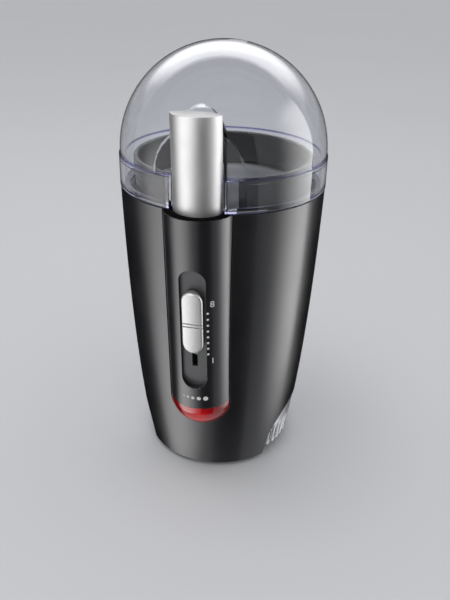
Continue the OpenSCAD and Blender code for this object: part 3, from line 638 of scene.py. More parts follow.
@dataclass(frozen=True)
class ClearPlastic:
    """Polished clear acrylic: nearly colourless, with a painted violet glow at its rims that stands for light
    piped there.
    """

    name: str
    body: str = "f4f5f8"
    # Colour of the painted violet glow at the rims.
    rim: str = "5c5cd0"
    painted_glow_z: Point = (147.8, 162.2)
    painted_glow_w: float = 0.7
    wipe_mm: float = 16.7
    edge_mm: float = 0.8

    def build(self) -> Material:
        """Builds the material.

        Returns:
            The material.
        """
        material, tree, place = start(self.name)
        height = add(tree, "SeparateXYZ", inputs={"Vector": place}).outputs["Z"]
        # Painted glow: the colour turns violet near each rim height, standing for light piped to the rims.
        painted_glow_bands = []
        for rim in self.painted_glow_z:
            gap = add(tree, "Math", {"operation": "SUBTRACT"}, {0: height, 1: rim * MM})
            gap = add(tree, "Math", {"operation": "ABSOLUTE"}, {0: gap})
            painted_glow_bands.append(add(tree, "MapRange", EASED, {
                "Value": gap, "From Min": 0.0, "From Max": self.painted_glow_w * MM, "To Min": 1.0, "To Max": 0.0,
            }))
        both = add(tree, "Math", {"operation": "MAXIMUM"}, dict(enumerate(painted_glow_bands)))
        tint = add(tree, "Mix", COLOURS, {0: both, 6: self.body, 7: self.rim})
        # Wiping leaves parts of the face very slightly dull.
        wipes = add(
            tree, "TexNoise", inputs={"Vector": place, "Scale": 1 / (self.wipe_mm * MM), "Detail": 5.0}
        )
        gloss = add(tree, "MapRange", inputs={
            "Value": wipes, "From Min": 0.45, "From Max": 0.75, "To Min": 0.0, "To Max": 0.035,
        })
        soft = add(tree, "Bevel", {"samples": 6}, {"Radius": self.edge_mm * MM})
        return close(material, {
            "Base Color": tint.outputs[2], "Roughness": gloss, "Normal": soft, "IOR": 1.49,
            "Transmission Weight": 1.0,
        })


@dataclass(frozen=True)
class RedLens:
    """Clear red acrylic over a light: deep red, with the diode's light painted in as a lighter core in front
    of it and a faint glow.
    """

    name: str
    deep: str = "8c0a12"
    lit: str = "d81e22"
    spot: Triple = (0.0, -14.0, -5.0)
    core_r: float = 1.0
    glow_r: float = 13.0
    prism_mm: float = 1.11

    def build(self) -> Material:
        """Builds the material.

        Returns:
            The material.
        """
        material, tree, place = start(self.name)
        centre = (COLUMN_FOOT + Vector(self.spot)) * MM
        # Painted light: the colour lightens towards the spot in front of the diode, and the lens glows
        # faintly.
        from_spot = add(tree, "VectorMath", {"operation": "DISTANCE"}, {0: place, 1: tuple(centre)})
        glow = add(tree, "MapRange", EASED, {
            "Value": from_spot.outputs["Value"], "From Min": self.core_r * MM, "From Max": self.glow_r * MM,
            "To Min": 1.0, "To Max": 0.0,
        })
        tint = add(tree, "Mix", COLOURS, {0: glow, 6: self.deep, 7: self.lit}).outputs[2]
        prisms = add(
            tree, "TexNoise", inputs={"Vector": place, "Scale": 1 / (self.prism_mm * MM), "Detail": 2.0}
        )
        return close(material, {
            "Base Color": tint, "Roughness": 0.12, "IOR": 1.49, "Transmission Weight": 0.45,
            "Emission Color": tint, "Emission Strength": 0.12, "Coat Weight": 0.15, "Coat Roughness": 0.06,
        }, height=prisms, strength=0.08, depth_mm=0.02)


@dataclass(frozen=True)
class SpunMetal:
    """Metal with the circular marks of turning, spinning or grinding round the body's axis."""

    name: str
    colour: str
    dark: str
    roughness: float
    line_mm: float
    metallic: float = 1.0

    def build(self) -> Material:
        """Builds the material.

        Returns:
            The material.
        """
        material, tree, place = start(self.name)
        centred = add(
            tree, "Mapping", {"vector_type": "POINT"}, {"Vector": place, "Location": (0, -AXIS_Y * MM, 0)}
        )
        rings = add(tree, "TexWave", {"wave_type": "RINGS", "rings_direction": "Z"}, {
            "Vector": centred, "Scale": WAVE_UNITS / (self.line_mm * MM), "Distortion": 0.6,
            "Detail": 3.0, "Detail Scale": 2.0,
        }).outputs["Fac"]
        tint = add(tree, "Mix", COLOURS, {0: rings, 6: self.dark, 7: self.colour})
        gloss = add(tree, "MapRange", inputs={
            "Value": rings, "To Min": self.roughness + 0.06, "To Max": self.roughness - 0.04,
        })
        return close(material, {
            "Base Color": tint.outputs[2], "Metallic": self.metallic, "Roughness": gloss,
        }, height=rings, strength=0.15, depth_mm=0.01, edge_mm=0.2)


@dataclass(frozen=True)
class Layered:
    """A piece built of fine layers or turns along Z: stacked sheet, or wound enamelled wire."""

    name: str
    colour: str
    gap: str
    pitch_mm: float
    metallic: float
    roughness: float

    def build(self) -> Material:
        """Builds the material.

        Returns:
            The material.
        """
        material, tree, place = start(self.name)
        lines = add(tree, "TexWave", {"wave_type": "BANDS", "bands_direction": "Z", "wave_profile": "SIN"}, {
            "Vector": place, "Scale": WAVE_UNITS / (self.pitch_mm * MM), "Distortion": 0.3, "Detail": 1.0,
        }).outputs["Fac"]
        tint = add(tree, "Mix", COLOURS, {0: lines, 6: self.gap, 7: self.colour})
        return close(material, {
            "Base Color": tint.outputs[2], "Metallic": self.metallic, "Roughness": self.roughness,
        }, height=lines, strength=0.5, depth_mm=0.1)


@dataclass(frozen=True)
class Mottled:
    """A plain finish that drifts slightly between two colours: rubber, ink, cloth or a painted floor."""

    name: str
    colour: str
    drift: str
    cloud_mm: float
    detail: float
    roughness: float = 0.5
    glow: float = 0.0
    grain_mm: float = 0.0
    dull: bool = False

    def build(self) -> Material:
        """Builds the material.

        Returns:
            The material.
        """
        material, tree, place = start(self.name)
        tint = mottle(tree, place, self.cloud_mm, self.detail, (self.colour, self.drift))[1]
        if self.dull:
            matt = add(tree, "BsdfDiffuse", inputs={"Color": tint})
            add(tree, "OutputMaterial", inputs={"Surface": matt})
            return material
        inputs = {"Base Color": tint, "Roughness": self.roughness}
        if self.glow:
            inputs |= {"Emission Color": tint, "Emission Strength": self.glow}
        if not self.grain_mm:
            return close(material, inputs)
        grain = add(
            tree, "TexNoise", inputs={"Vector": place, "Scale": 1 / (self.grain_mm * MM), "Detail": 2.0}
        )
        return close(material, inputs | {"Sheen Weight": 0.1}, height=grain, strength=0.3, depth_mm=0.05)


FINISHES = {
    # Satin black ABS of the housing: a soft, wide highlight.
    "housing": MouldedPlastic("satin_black_abs", "17171a", "1c1c1f", 0.3, coat=0.15),
    # The column is the same plastic with a slightly finer grain.
    "column": MouldedPlastic("fine_black_abs", "19191c", "1f1f22", 0.3, grain_mm=0.25, coat=0.1),
    # The deck is polished, and its collar has a soft edge that catches the light all round.
    "deck": MouldedPlastic("polished_black_abs", "101012", "161618", 0.22, edge_mm=0.7),
    # The column's top round the button is covered by a thin dull black ring: painted shade that stands for
    # the dark gap beside the silver.
    "ledge": Mottled("painted_shade_black", "101011", "18181a", 125.0, 2.0, dull=True),
    # Dark grey floor of the slider's recess: duller than the column round it.
    "panel": MouldedPlastic("dark_grey_abs", "39393b", "3f3f41", 0.42),
    # Coarse-grained black of the bottom plate: nearly no highlight.
    "base": MouldedPlastic("grained_black_polypropylene", "141414", "1a1a1a", 0.55, grain_mm=0.6),
    # The button and the knob: metallic, with highlights that spread wide and soft.
    "silver": SilverLacquer("satin_silver_lacquer"),
    # The base ring's lacquer is lighter and glossier, so its flutes stand out.
    "ring": SilverLacquer("light_silver_lacquer", "d6d7da", "c6c7ca", 0.36),
    # The lid: clear, with a painted violet glow at its rims and white edge lines.
    "clear": ClearPlastic("polished_clear_acrylic"),
    # The lens: deep red, with the diode's light painted in as a lighter, faintly glowing core.
    "lens": RedLens("clear_red_acrylic"),
    # Matt and soft, with a fine grain and a slight bloom.
    "rubber": Mottled("moulded_black_rubber", "121212", "1e1e1e", 8.33, 5.0, 0.72, grain_mm=0.4),
    # The same softness in a mid grey.
    "seal": Mottled("grey_silicone_rubber", "3a3a3c", "474749", 8.33, 5.0, 0.72, grain_mm=0.4),
    # Deep-drawn stainless sheet: bright, with faint rings.
    "bowl": SpunMetal("drawn_stainless_steel", "dcdddf", "c6c8ca", 0.4, 0.628, 0.7),
    # Ground sheet: darker than the bowl, with finer and sharper lines.
    "blade": SpunMetal("ground_stainless_steel", "c2c4c6", "a3a5a8", 0.3, 0.4187),
    # Bar turned on a lathe: fine rings round the shaft, the screws and the bearings.
    "steel": SpunMetal("turned_steel", "b4b6b9", "8f9295", 0.32, 0.314),
    # Zinc on pressed sheet: grey and dull.
    "bracket": SpunMetal("zinc_plated_steel", "9da0a3", "85888c", 0.45, 1.57),
    # Stacked sheet shows its layers as dark lines.
    "lamination": Layered("stacked_electrical_sheet", "7c7f82", "3c3e40", 0.6, 1.0, 0.45),
    # Wound wire shows its turns, under a glossy red-brown enamel.
    "copper": Layered("enamelled_copper_wire", "b5613a", "6a2f18", 0.5, 0.9, 0.32),
    # The commutator's bars: bright, warm and finely turned.
    "bars": SpunMetal("turned_copper", "c8835a", "a8643e", 0.3, 0.314),
    # Bent brass sheet: yellow, with broad soft marks.
    "brass": SpunMetal("pressed_brass", "c9a557", "a98740", 0.35, 1.256),
    # Pressed graphite: black with a dull metallic grain.
    "graphite": MouldedPlastic("pressed_graphite", "1b1b1c", "2a2a2b", 0.5, grain_mm=0.2),
    # Solder mask: a half-glossy green.
    "board": MouldedPlastic("green_solder_mask", "1a4f30", "23603c", 0.35, grain_mm=0.8),
    # Undyed acetal: off-white and waxy.
    "white": MouldedPlastic("natural_acetal", "e2e0da", "d8d6d0", 0.4),
    # White pad-printed ink: matt and very slightly uneven.
    "ink": Mottled("white_pad_print", "e6e6e4", "cfcfcd", 0.667, 3.0, 0.55),
    # A diode's epoxy body with its light on.
    "diode": Mottled("lit_red_diode", "ff3a2a", "ff8a70", 2.5, 1.0, 0.2, glow=2.5),
}


# ---- dressing


def dress(piece: Piece, material: Material) -> Piece:
    """Gives a piece one material.

    Args:
        piece: the object.
        material: its material.

    Returns:
        The same object.
    """
    piece.data.materials.clear()
    piece.data.materials.append(material)
    return piece


def hand_in(
    piece: Piece, material: Material, body: str,
    stands_for: Iterable[str] = (), soft: float = 0.0,
) -> None:
    """Shades and dresses a finished piece and ties it to its body.

    Args:
        piece: the object.
        material: its material.
        body: the body that it moves with.
        stands_for: the solids that it is shown in place of.
        soft: the angle in degrees under which its edges are shaded smooth, 0 to leave it flat.
    """
    if soft:
        take(piece)
        bpy.ops.object.shade_smooth_by_angle(angle=math.radians(soft))
    dress(piece, material)
    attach(piece, body)
    for node in stands_for:
        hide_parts(node)
    LOG.info("%s: %d faces, rides on %s", piece.name, len(piece.data.polygons), body)


# ---- sub-assemblies


@dataclass
class Housing:
    """The tapered black housing."""

    finishes: dict[str, Material]
    rim_r: float = 49.8
    foot_r: float = 38.9
    foot_z: float = 2.0
    bow_r: float = 47.5
    bow_z: float = 54.7
    wall: float = 2.4
    seam: float = 0.3
    edge: float = 0.35
    window_front: float = 24.2
    window_corner: float = 21.2
    window_top: float = 31.2

    def side(self, inset: float, low: float, high: float, steps: int) -> list[Point]:
        """Gives points up the side wall.

        Args:
            inset: the depth below the face.
            low: the first height.
            high: the last height.
            steps: the number of steps.

        Returns:
            The points.
        """
        # The side is a quadratic curve from the foot to the rim, bowed towards (bow_r, bow_z).
        a, b = self.foot_z - 2 * self.bow_z + RIM_Z, 2 * (self.bow_z - self.foot_z)
        points = []
        for i in range(steps + 1):
            z = low + (high - low) * i / steps
            c = self.foot_z - z
            t = -2 * c / (b + math.sqrt(b * b - 4 * a * c))
            r = (1 - t) ** 2 * self.foot_r + 2 * t * (1 - t) * self.bow_r + t * t * self.rim_r
            points.append((r - inset, z))
        return points

    def window(self) -> Piece:
        """Makes the solid that cuts the window in the lower back.

        Returns:
            The solid, in its place.
        """
        corner_y, corner_z = self.window_corner - self.window_front, self.window_top - self.window_corner
        cutter = made(
            "window_cutter", bpy.ops.mesh.primitive_cylinder_add, vertices=TURN,
            radius=self.window_corner * MM, depth=2 * FAR * MM,
            location=(0, corner_y * MM, corner_z * MM), rotation=(0, math.pi / 2, 0),
        )
        for front, top in ((-self.window_front, corner_z), (corner_y, self.window_top)):
            shape(cutter, block("window_part", (-FAR, front, -SPARE), (FAR, FAR, top)), Cut.JOIN)
        return put(cutter, Place.BODY)

    def build(self) -> None:
        """Builds the shell."""
        outer = self.side(0, self.foot_z + self.edge, RIM_Z - self.edge, steps=56)
        inner = self.side(self.wall, self.foot_z, RIM_Z, steps=14)
        foot, rim = (outer[0][0] - self.edge, self.foot_z), (outer[-1][0] - self.edge, RIM_Z)
        outline = [foot] + outer + [rim] + inner[::-1]
        shell = put(turned("body_shell", outline, LARGE_TURN), Place.BODY)
        r = COLUMN_R + self.seam
        space = arc(0, 0, r, -90, 0, steps=24) + [(r, COLUMN_L + SPARE), (0, COLUMN_L + SPARE)]
        shape(shell, put(turned("column_space", space)))
        shape(shell, self.window())
        hand_in(shell, self.finishes["housing"], "housing", ["outer_shell"], soft=25)


@dataclass
class Column:
    """The leaning control column with its recess, printed scale and red lens."""

    finishes: dict[str, Material]
    wall: float = 2.3
    rear: float = 2.0
    guide_s: float = COLUMN_L - 18.0
    guide_floor: float = 2.0
    guide_rear: float = 4.3
    gap: float = 0.7
    button_r: float = 11.45
    recess_half: float = 6.2
    recess_low: float = 13.7
    recess_high: float = 78.892
    recess_back: float = -11.0
    lens_band: float = 1.4
    lens_wall: float = 1.6
    plate_front: float = -13.1
    plate_wall: float = 1.6
    plate_lap: float = 1.3
    slot_w: float = 2.7
    slot_low: float = 25.3
    slot_high: float = 66.0
    ledge_r: float = 15.75
    ledge_low: float = 0.1
    ledge_high: float = 0.2
    ledge_back: float = 0.9
    # Length along the column that the level ledge spans, on each side of the axis.
    ledge_span: float = 2.0
    ink_t: float = 0.06
    ink_proud: float = 0.04
    dots: int = 8
    dot_r: float = 0.58
    dot_turn: float = math.radians(25.5)
    dot_low: float = 34.4
    dot_high: float = 57.0
    figure_x: float = 9.4
    figure_h: float = 3.2
    figures: tuple[tuple[str, str, float], ...] = (
        ("scale_figure_high", "8", 61.6), ("scale_figure_low", "1", 30.2),
    )
    grain_s: float = 7.9
    # The place sideways and the radius of each grain.
    grains: tuple[Point, ...] = ((-5.6, 0.45), (-3.4, 0.65), (-0.8, 0.85), (2.2, 1.05), (5.6, 1.25))

    def cover(self) -> None:
        """Builds the column's cover."""
        cover = rod("column_cover", COLUMN_R, self.lens_band, COLUMN_L + SPARE, TURN)
        shape(cover, rod("hollow", COLUMN_R - self.wall, -SPARE, self.guide_s))
        for rear, top in ((self.rear, self.guide_s), (self.guide_rear, 2 * FAR)):
            shape(cover, block("rear_cut", (-FAR, rear, -SPARE), (FAR, FAR, top)))
        bore = rod("bore", self.button_r + self.gap, self.guide_s + self.guide_floor, COLUMN_L + 2 * SPARE)
        bow_back(bore, self.gap, TURN)
        shape(cover, bore)
        recess = pill_solid(
            "recess", self.recess_half, self.recess_low, self.recess_high, -COLUMN_R - SPARE, self.recess_back
        )
        shape(cover, recess)
        put(cover)
        slice_off(cover, (0, 0, RIM_Z), (0, 0, 1))
        hand_in(cover, self.finishes["column"], "housing", ["control_column"], soft=25)

    def plate(self) -> None:
        """Builds the floor of the slider's recess."""
        lap, half = self.plate_lap, self.slot_w / 2
        plate = pill_solid(
            "recess_floor", self.recess_half + lap, self.recess_low - lap, self.recess_high + lap,
            self.plate_front, self.plate_front + self.plate_wall,
        )
        shape(plate, block("slot", (-half, -FAR, self.slot_low), (half, 0, self.slot_high)))
        put(tidy(plate))
        hand_in(plate, self.finishes["panel"], "housing", ["slider_plate"], soft=35)

    def ledge(self) -> None:
        """Builds a thin dull black ring on the column's top round the button: painted shade for the dark gap
        there.
        """
        bar_r, low, high = self.button_r + self.gap, COLUMN_L - self.ledge_span, COLUMN_L + self.ledge_span
        outline = [(bar_r, low), (self.ledge_r, low), (self.ledge_r, high), (bar_r, high)]
        ledge = put(turned("column_ledge", outline))
        slice_off(ledge, (0, 0, RIM_Z + self.ledge_high), (0, 0, 1))
        slice_off(ledge, (0, 0, RIM_Z - self.ledge_low), (0, 0, -1))
        slice_off(ledge, (0, AXIS_Y - COLUMN_TOP_Y - self.ledge_back, 0), (0, 1, 0))
        # The ring is painted shade: dead black, lit only diffusely.
        hand_in(tidy(ledge), self.finishes["ledge"], "housing", soft=25)

    def lens(self) -> None:
        """Builds the red lens under the column."""
        inner_r, top = COLUMN_R - self.lens_wall, self.lens_band
        outside, inside = arc(0, 0, COLUMN_R, -90, 0, steps=28), arc(0, 0, inner_r, 0, -90, steps=24)
        lens = turned("red_lens", outside + [(COLUMN_R, top), (inner_r, top)] + inside)
        slice_off(lens, (0, self.rear, 0), (0, 1, 0))
        put(tidy(lens))
        hand_in(lens, self.finishes["lens"], "housing", ["indicator_lens"], soft=35)

    def print_disc(self, name: str, x: float, s: float, r: float) -> Piece:
        """Prints a dot on the column's face.

        Args:
            name: the piece's name.
            x: its arc length to the right of the middle in millimetres.
            s: its height along the column.
            r: its radius.

        Returns:
            The dot, still in the column's own frame.
        """
        dot = made(
            name, bpy.ops.mesh.primitive_circle_add, vertices=20, radius=r * MM, fill_type="TRIFAN",
            location=(x * MM, 0, s * MM), rotation=(math.pi / 2, 0, 0),
        )
        with editing(dot):
            bpy.ops.mesh.extrude_region_move(TRANSFORM_OT_translate={"value": (0, self.ink_t * MM, 0)})
        return wrap(tidy(dot), COLUMN_R + self.ink_proud)

    def figure(self, name: str, text: str, s: float) -> Piece:
        """Prints a number on the column's face.

        Args:
            name: the piece's name.
            text: the number.
            s: the height of its middle along the column.

        Returns:
            The number, still in the column's own frame.
        """
        wipe_selection()
        bpy.ops.object.text_add(location=(0, 0, 0), rotation=(math.pi / 2, 0, 0))
        number = bpy.context.object
        number.data.body = text
        number.data.size = self.figure_h * MM / DIGIT_SHARE
        number.data.align_x = number.data.align_y = "CENTER"
        # Text grows by half its thickness to each side.
        number.data.extrude = self.ink_t / 2 * MM
        number.data.resolution_u = 4
        take(number)
        bpy.ops.object.convert(target="MESH")
        number = named(bpy.context.object, name)
        number.location = (self.figure_x * MM, 0, s * MM)
        return wrap(tidy(settle(number), merge_mm=0.0005), COLUMN_R + self.ink_t / 2)

    def scale(self) -> None:
        """Prints the dots and plain numbers beside the slider and the growing grains below it."""
        step = (self.dot_high - self.dot_low) / (self.dots - 1)
        first = self.print_disc("scale_dot_1", self.dot_turn * COLUMN_R, self.dot_low, self.dot_r)
        marks = [first] + [twin(first, f"scale_dot_{i + 1}", step * i) for i in range(1, self.dots)]
        marks += [self.figure(*figure) for figure in self.figures]
        for i, (x, r) in enumerate(self.grains):
            marks.append(self.print_disc(f"grain_mark_{i + 1}", x, self.grain_s, r))
        for mark in marks:
            hand_in(put(mark), self.finishes["ink"], "housing")

    def build(self) -> None:
        """Builds the column, its lens and its print."""
        for step in (self.cover, self.plate, self.ledge, self.lens, self.scale):
            step()


@dataclass
class PushButton:
    """The silver button on the column."""

    finishes: dict[str, Material]
    low_r: float = 11.7
    top_r: float = 11.6
    skirt: float = 10.5
    rise: float = 43.6
    edge: float = 1.1
    slope: float = math.radians(6)
    travel: float = 4.0
    stem_y: float = -3.6
    coil_s: float = COLUMN_L - 16.0
    coil_l: float = 15.0
    coil_r: float = 3.8
    coils: int = 6
    wire_r: float = 0.4
    wire_gap: float = 0.05
    turn_steps: int = 24

    def spring(self) -> None:
        """Builds the return spring, which on the real grinder shortens as the button is pressed."""
        low = self.coil_s + self.wire_r + self.wire_gap
        spring = made(
            "return_spring", bpy.ops.mesh.primitive_circle_add, vertices=10, radius=self.wire_r * MM,
            location=(self.coil_r * MM, 0, low * MM), rotation=(math.pi / 2, 0, 0),
        )
        modifier = spring.modifiers.new("coil", "SCREW")
        modifier.steps = modifier.render_steps = self.turn_steps
        modifier.iterations = self.coils
        modifier.screw_offset = (self.coil_l - 2 * (self.wire_r + self.wire_gap)) / self.coils * MM
        bpy.ops.object.modifier_apply(modifier=modifier.name)
        with editing(spring):
            bpy.ops.mesh.fill_holes(sides=0)
        spring.location.y = self.stem_y * MM
        put(settle(tidy(spring)))
        hand_in(spring, self.finishes["steel"], "housing", stands_for=["button_spring"], soft=50)
        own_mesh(spring)

    def build(self) -> None:
        """Builds the button and its spring."""
        self.spring()
        low, top = COLUMN_L - self.skirt, COLUMN_L + self.rise
        button = turned("silver_button", [(0, low), (self.low_r, low), (self.top_r, top), (0, top)])
        bow_back(button, 0, LARGE_TURN)
        slice_off(button, (0, -self.top_r, top), (0, math.sin(self.slope), math.cos(self.slope)))
        tidy(button, merge_mm=0.02)
        round_edges(button, self.edge, segments=5, angle=35)
        put(button)
        hand_in(button, self.finishes["silver"], "button", ["start_button"], soft=35)


@dataclass
class GrainSlider:
    """The sliding knob in the column's recess."""

    finishes: dict[str, Material]
    half: float = 5.35
    middle: float = 51.8
    length: float = 33.0
    proud: float = 1.2
    depth: float = 3.9
    rib_s: float = 50.6
    rib_w: float = 1.1
    groove_w: float = 0.55
    groove_d: float = 0.6
    edge: float = 1.2

    def build(self) -> None:
        """Builds the knob."""
        low, high = self.middle - self.length / 2, self.middle + self.length / 2
        knob = pill_solid("grain_knob", self.half, low, high, 0, self.depth)
        round_edges(tidy(knob), self.edge, segments=5, angle=35)
        # A rib stands between two grooves.
        for low in (self.rib_s - self.rib_w / 2 - self.groove_w, self.rib_s + self.rib_w / 2):
            groove = block("groove", (-SPARE, -SPARE, low), (SPARE, self.groove_d, low + self.groove_w))
            shape(knob, groove)
        put(wrap(tidy(knob), COLUMN_R + self.proud))
        hand_in(knob, self.finishes["silver"], "slider", ["slider_knob"], soft=35)


@dataclass
class Lid:
    """The clear domed lid with its flat front and the channel for the button."""

    finishes: dict[str, Material]
    foot_z: float = 147.8
    band_top: float = 162.2
    band_edge: float = 0.25
    dome_r: float = 49.5
    neck: float = 0.9
    wall: float = 2.2
    flat_y: float = 45.2
    channel_y: float = 39.9
    channel_r: float = 14.7
    channel_half: float = 12.4
    channel_lean: float = math.radians(0.9)
    # The channel's wall turns outwards from here, by an arc down to blend_end degrees, and then along flare.
    blend_z: float = 189.1
    blend_r: float = 8.0
    blend_end: float = 152.0
    flare: Point = (6.0, 8.0)
    lip_r: float = 47.0
    lip_t: float = 1.6
    lip_h: float = 2.5
    lip_lap: float = 1.0
    lip_front: float = 36.0

    def dome(self, inset: float) -> list[Point]:
        """Gives the dome's outline from its neck to its top, at a depth below its face."""
        return arc(0, self.band_top + self.neck, self.dome_r - inset, 0, 90, steps=44)

    def front(self, grow: float) -> Piece:
        """Makes the space that the flat front and the channel take out of the lid.

        Args:
            grow: the distance by which it is made larger.

        Returns:
            The solid, round the world's Z axis.
        """
        half, r = self.channel_half + grow, self.channel_r + grow
        blend = arc(
            self.channel_r + self.blend_r, self.blend_z - RIM_Z, self.blend_r - grow,
            180, self.blend_end, steps=12,
        )
        out_r, out_z = blend[-1][0] + self.flare[0], blend[-1][1] + self.flare[1]
        outline = [(0, -SPARE), (r, -SPARE)] + blend + [(out_r, out_z), (out_r, FAR), (0, FAR)]
        channel = turned("channel", outline, LARGE_TURN)
        channel.rotation_euler = (self.channel_lean, 0, 0)
        channel.location = (0, -(self.channel_y + self.channel_r) * MM, RIM_Z * MM)
        settle(channel)
        # Each cutter ends at its own height, so no two of them share a face at the top.
        shape(channel, block("channel_sides", (-half, -FAR, 0), (half, 0, 3 * FAR)), Cut.KEEP_COMMON)
        mouth = block("channel_mouth", (-half, -FAR, SPARE), (half, -self.flat_y, 3 * FAR - SPARE))
        face = block("flat_front", (-FAR, -FAR, self.band_top), (FAR, -self.flat_y + grow, 3 * FAR + SPARE))
        return shape(shape(channel, mouth, Cut.JOIN), face, Cut.JOIN)

    def build(self) -> None:
        """Builds the lid."""
        band = [
            (0, self.foot_z), (LID_R, self.foot_z), (LID_R, self.band_top - self.band_edge),
            (LID_R - self.band_edge, self.band_top), (self.dome_r, self.band_top),
        ]
        outer = turned("clear_dome", band + self.dome(0), LARGE_TURN)
        lip = rod("lid_lip", self.lip_r, self.foot_z - self.lip_h, self.foot_z + self.lip_lap, LARGE_TURN)
        shape(lip, block("lip_front", (-FAR, -FAR, 0), (FAR, -self.lip_front, 2 * FAR)))
        shape(outer, lip, Cut.JOIN)
        lip_in, inner_r, neck_r = self.lip_r - self.lip_t, LID_R - self.wall, self.dome_r - self.wall
        low, floor, ceiling = self.foot_z - SPARE, self.foot_z + self.lip_t, self.band_top - self.wall
        steps = [
            (0, low), (lip_in, low), (lip_in, floor), (inner_r, floor), (inner_r, ceiling), (neck_r, ceiling),
        ]
        hollow = turned("lid_hollow", steps + self.dome(self.wall), LARGE_TURN)
        behind = block("hollow_front", (-FAR, -FAR, 0), (FAR, -self.flat_y + self.wall, 3 * FAR))
        shape(hollow, behind)
        shape(hollow, self.front(self.wall))
        shape(outer, hollow)
        shape(outer, self.front(0))
        put(tidy(outer), Place.BODY)
        hand_in(outer, self.finishes["clear"], "lid", ["clear_lid"], soft=20)


@dataclass
class CarriedSolids:
    """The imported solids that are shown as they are, with their finishes."""

    finishes: dict[str, Material]
    table: dict[str, str] = field(
        default_factory=lambda: {
            "ring": "base_ring",
            "base": "bottom_plate mains_switch button_stem slider_lever",
            "rubber": "rubber_foot_1 rubber_foot_2 rubber_foot_3 rubber_foot_4 cord_inlet motor_mounts",
            "steel": "base_screws bowl_screws upper_bearing lower_bearing motor_screws drive_shaft blade_nut",
            "deck": "chamber_deck",
            "bowl": "grinding_bowl",
            "seal": "bowl_seal shaft_seal",
            "bracket": "upper_bracket lower_bracket slide_potentiometer",
            "lamination": "stator_core armature_core",
            "copper": "field_coil_left field_coil_right armature_winding",
            "brass": "brush_holder_left brush_holder_right",
            "graphite": "carbon_brush_left carbon_brush_right",
            "board": "circuit_board",
            "diode": "run_light",
            "white": "switch_plunger",
            "bars": "commutator",
            "panel": "cooling_fan",
            "blade": "grinding_blade",
        }
    )

    def build(self) -> None:
        """Dresses each solid."""
        for finish, nodes in self.table.items():
            for node in nodes.split():
                dress(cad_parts[node], self.finishes[finish])
                LOG.info("%s: packed solid, %s", node, finish)


@dataclass(frozen=True)
class Stand:
    """What faces the grinder: its direction, its distance in metres and the angles that it fills."""

    name: str
    turn: float
    rise: float
    distance: float
    wide: float
    tall: float

    def span(self) -> list[float]:
        """Gives the width and the height in metres that fill its angles."""
        return [2 * self.distance * math.tan(math.radians(angle / 2)) for angle in (self.wide, self.tall)]

    def face_in(self, piece: Piece) -> None:
        """Stands an object in its place, facing the grinder.

        Args:
            piece: the lamp or the card.
        """
        across, up = math.radians(self.turn), math.radians(self.rise)
        away = Vector((math.cos(up) * math.sin(across), -math.cos(up) * math.cos(across), math.sin(up)))
        piece.location = MIDDLE * MM + away * self.distance
        piece.rotation_euler = (-away).to_track_quat("-Z", "Y").to_euler()


@dataclass(frozen=True)
class Softbox(Stand):
    """A softbox and how its light fades towards its edges.

    A sheen lamp shows in reflections alone, and a through lamp also shows through the clear lid. The lamp
    without sheen lights the matt faces.
    """

    radiance: float
    fade_x: Point = (0.4, 0.4)
    fade_y: Point = (0.4, 0.4)
    sheen: bool = True
    through: bool = False


SOFTBOXES = (
    Softbox("top_softbox", -60.0, 80.0, 0.95, 50.0, 42.0, 3.4, sheen=False),
    Softbox("rear_softbox", 190.0, 40.0, 0.9, 100.0, 44.0, 2.2, (0.3, 0.3), (0.6, 0.05), through=True),
    Softbox("front_softbox", -12.0, 18.0, 0.9, 36.0, 34.0, 8.0, (0.2, 0.2), (0.2, 0.2), through=True),
    Softbox("right_softbox", 96.0, -5.0, 0.8, 54.0, 96.0, 4.6, (0.7, 0.06), (0.35, 0.2)),
    Softbox("left_softbox", -46.0, -15.0, 0.8, 76.0, 92.0, 3.2, (0.4, 0.5), (0.1, 0.5)),
)

# Black cards that only show in reflections, as a photographer stands them beside a dark object.
FLAGS = (
    Stand("front_right_flag", 30.0, -15.0, 1.4, 40.0, 96.0),
    Stand("left_rear_flag", -134.0, -19.0, 1.4, 76.0, 82.0),
    Stand("right_rear_flag", 158.0, -19.0, 1.4, 68.0, 82.0),
)


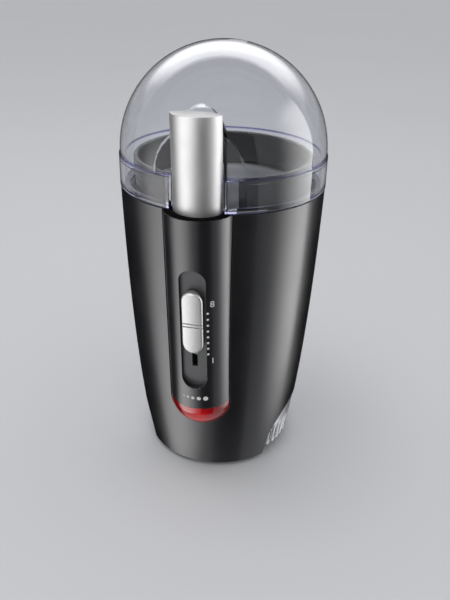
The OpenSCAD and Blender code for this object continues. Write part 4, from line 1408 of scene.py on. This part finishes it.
@dataclass
class Studio:
    """Floor, lights, world and camera."""

    eye_mm: Triple = (75.5, -318.0 + AXIS_Y, 250.2)
    right: Triple = (0.9721, 0.2340, 0.0188)
    up: Triple = (-0.1240, 0.4436, 0.8876)
    back: Triple = (0.1993, -0.8651, 0.4602)
    lens_mm: float = 41.17
    sensor_mm: float = 36.0
    floor_size: float = 60.0

    def lamp(self, box: Softbox) -> None:
        """Adds a softbox.

        Args:
            box: its place, size and strength.
        """
        light = bpy.data.lights.new(box.name, "AREA")
        light.shape = "RECTANGLE"
        light.size, light.size_y = box.span()
        light.energy = box.radiance * math.pi * light.size * light.size_y
        light.use_nodes = True
        tree = light.node_tree
        tree.nodes.clear()
        across = add(tree, "NewGeometry").outputs["Parametric"]
        axes = add(tree, "SeparateXYZ", inputs={"Vector": across})
        power: float | Node = 1.0
        for axis, fades in (("X", box.fade_x), ("Y", box.fade_y)):
            for low, high in ((0.0, fades[0]), (1.0, 1.0 - fades[1])):
                fade = add(tree, "MapRange", EASED, {
                    "Value": axes.outputs[axis], "From Min": low, "From Max": high,
                    "To Min": 0.0, "To Max": 1.0,
                })
                power = add(tree, "Math", {"operation": "MULTIPLY"}, {0: power, 1: fade})
        glow = add(tree, "Emission", inputs={"Strength": power})
        add(tree, "OutputLight", inputs={"Surface": glow})
        lamp = bpy.data.objects.new(box.name, light)
        box.face_in(lamp)
        lamp.visible_camera = False
        lamp.visible_transmission = box.through
        lamp.visible_diffuse = not box.sheen
        lamp.visible_glossy = box.sheen
        bpy.context.scene.collection.objects.link(lamp)

    def flag(self, place: Stand) -> None:
        """Adds a black card.

        Args:
            place: its place and size.
        """
        card = made(place.name, bpy.ops.mesh.primitive_plane_add, size=1)
        card.scale = (*place.span(), 1)
        place.face_in(card)
        dress(settle(card), Mottled("black_velvet", "101011", "18181a", 125.0, 2.0, dull=True).build())
        card.visible_camera = False
        card.visible_diffuse = False
        card.visible_transmission = False
        card.visible_shadow = False

    def camera(self) -> None:
        """Adds the camera."""
        lens = bpy.data.cameras.new("camera")
        lens.lens = self.lens_mm
        lens.sensor_width = self.sensor_mm
        lens.clip_start = 0.01
        eye = bpy.data.objects.new("camera", lens)
        turn = Matrix((self.right, self.up, self.back)).transposed().to_4x4()
        eye.matrix_world = Matrix.Translation(Vector(self.eye_mm) * MM) @ turn
        bpy.context.scene.collection.objects.link(eye)
        bpy.context.scene.camera = eye

    def world(self) -> None:
        """Sets a plain pale surround."""
        world = bpy.data.worlds.new("pale_surround")
        bpy.context.scene.world = world
        world.use_nodes = True
        tree = world.node_tree
        tree.nodes.clear()
        rays = add(tree, "LightPath")
        seen = rays.outputs["Is Camera Ray"]
        for kind in ("Is Transmission Ray", "Is Glossy Ray"):
            seen = add(tree, "Math", {"operation": "MAXIMUM"}, {0: seen, 1: rays.outputs[kind]})
        plain = add(tree, "Background", inputs={"Color": "ffffff", "Strength": 0.7})
        shown = add(tree, "Background", inputs={"Color": "c6c7ca", "Strength": 1.0})
        mixed = add(tree, "MixShader", inputs={0: seen, 1: plain, 2: shown})
        add(tree, "OutputWorld", inputs={"Surface": mixed})

    def build(self) -> None:
        """Builds the studio."""
        floor = made("studio_floor", bpy.ops.mesh.primitive_plane_add, size=self.floor_size)
        # Matt studio paper, even but for a very slow change.
        dress(floor, Mottled("pale_floor", "d6d7da", "d2d3d7", 333.0, 2.0, dull=True).build())
        # Glossy rays pass the floor, so the side lamps reach below the level as they would when mirrored in a
        # polished table.
        floor.visible_glossy = False
        for box in SOFTBOXES:
            self.lamp(box)
        for card in FLAGS:
            self.flag(card)
        self.camera()
        self.world()
        bpy.context.scene.view_settings.view_transform = "Standard"


def main() -> None:
    """Builds every sub-assembly in order."""
    logging.basicConfig(level=logging.INFO, format="%(message)s")
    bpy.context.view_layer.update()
    Studio().build()
    finishes = {name: finish.build() for name, finish in FINISHES.items()}
    for part in (
        CarriedSolids(finishes), Housing(finishes), Column(finishes), PushButton(finishes),
        GrainSlider(finishes), Lid(finishes),
    ):
        LOG.info("building %s", type(part).__name__)
        part.build()


if __name__ == "__main__":
    main()
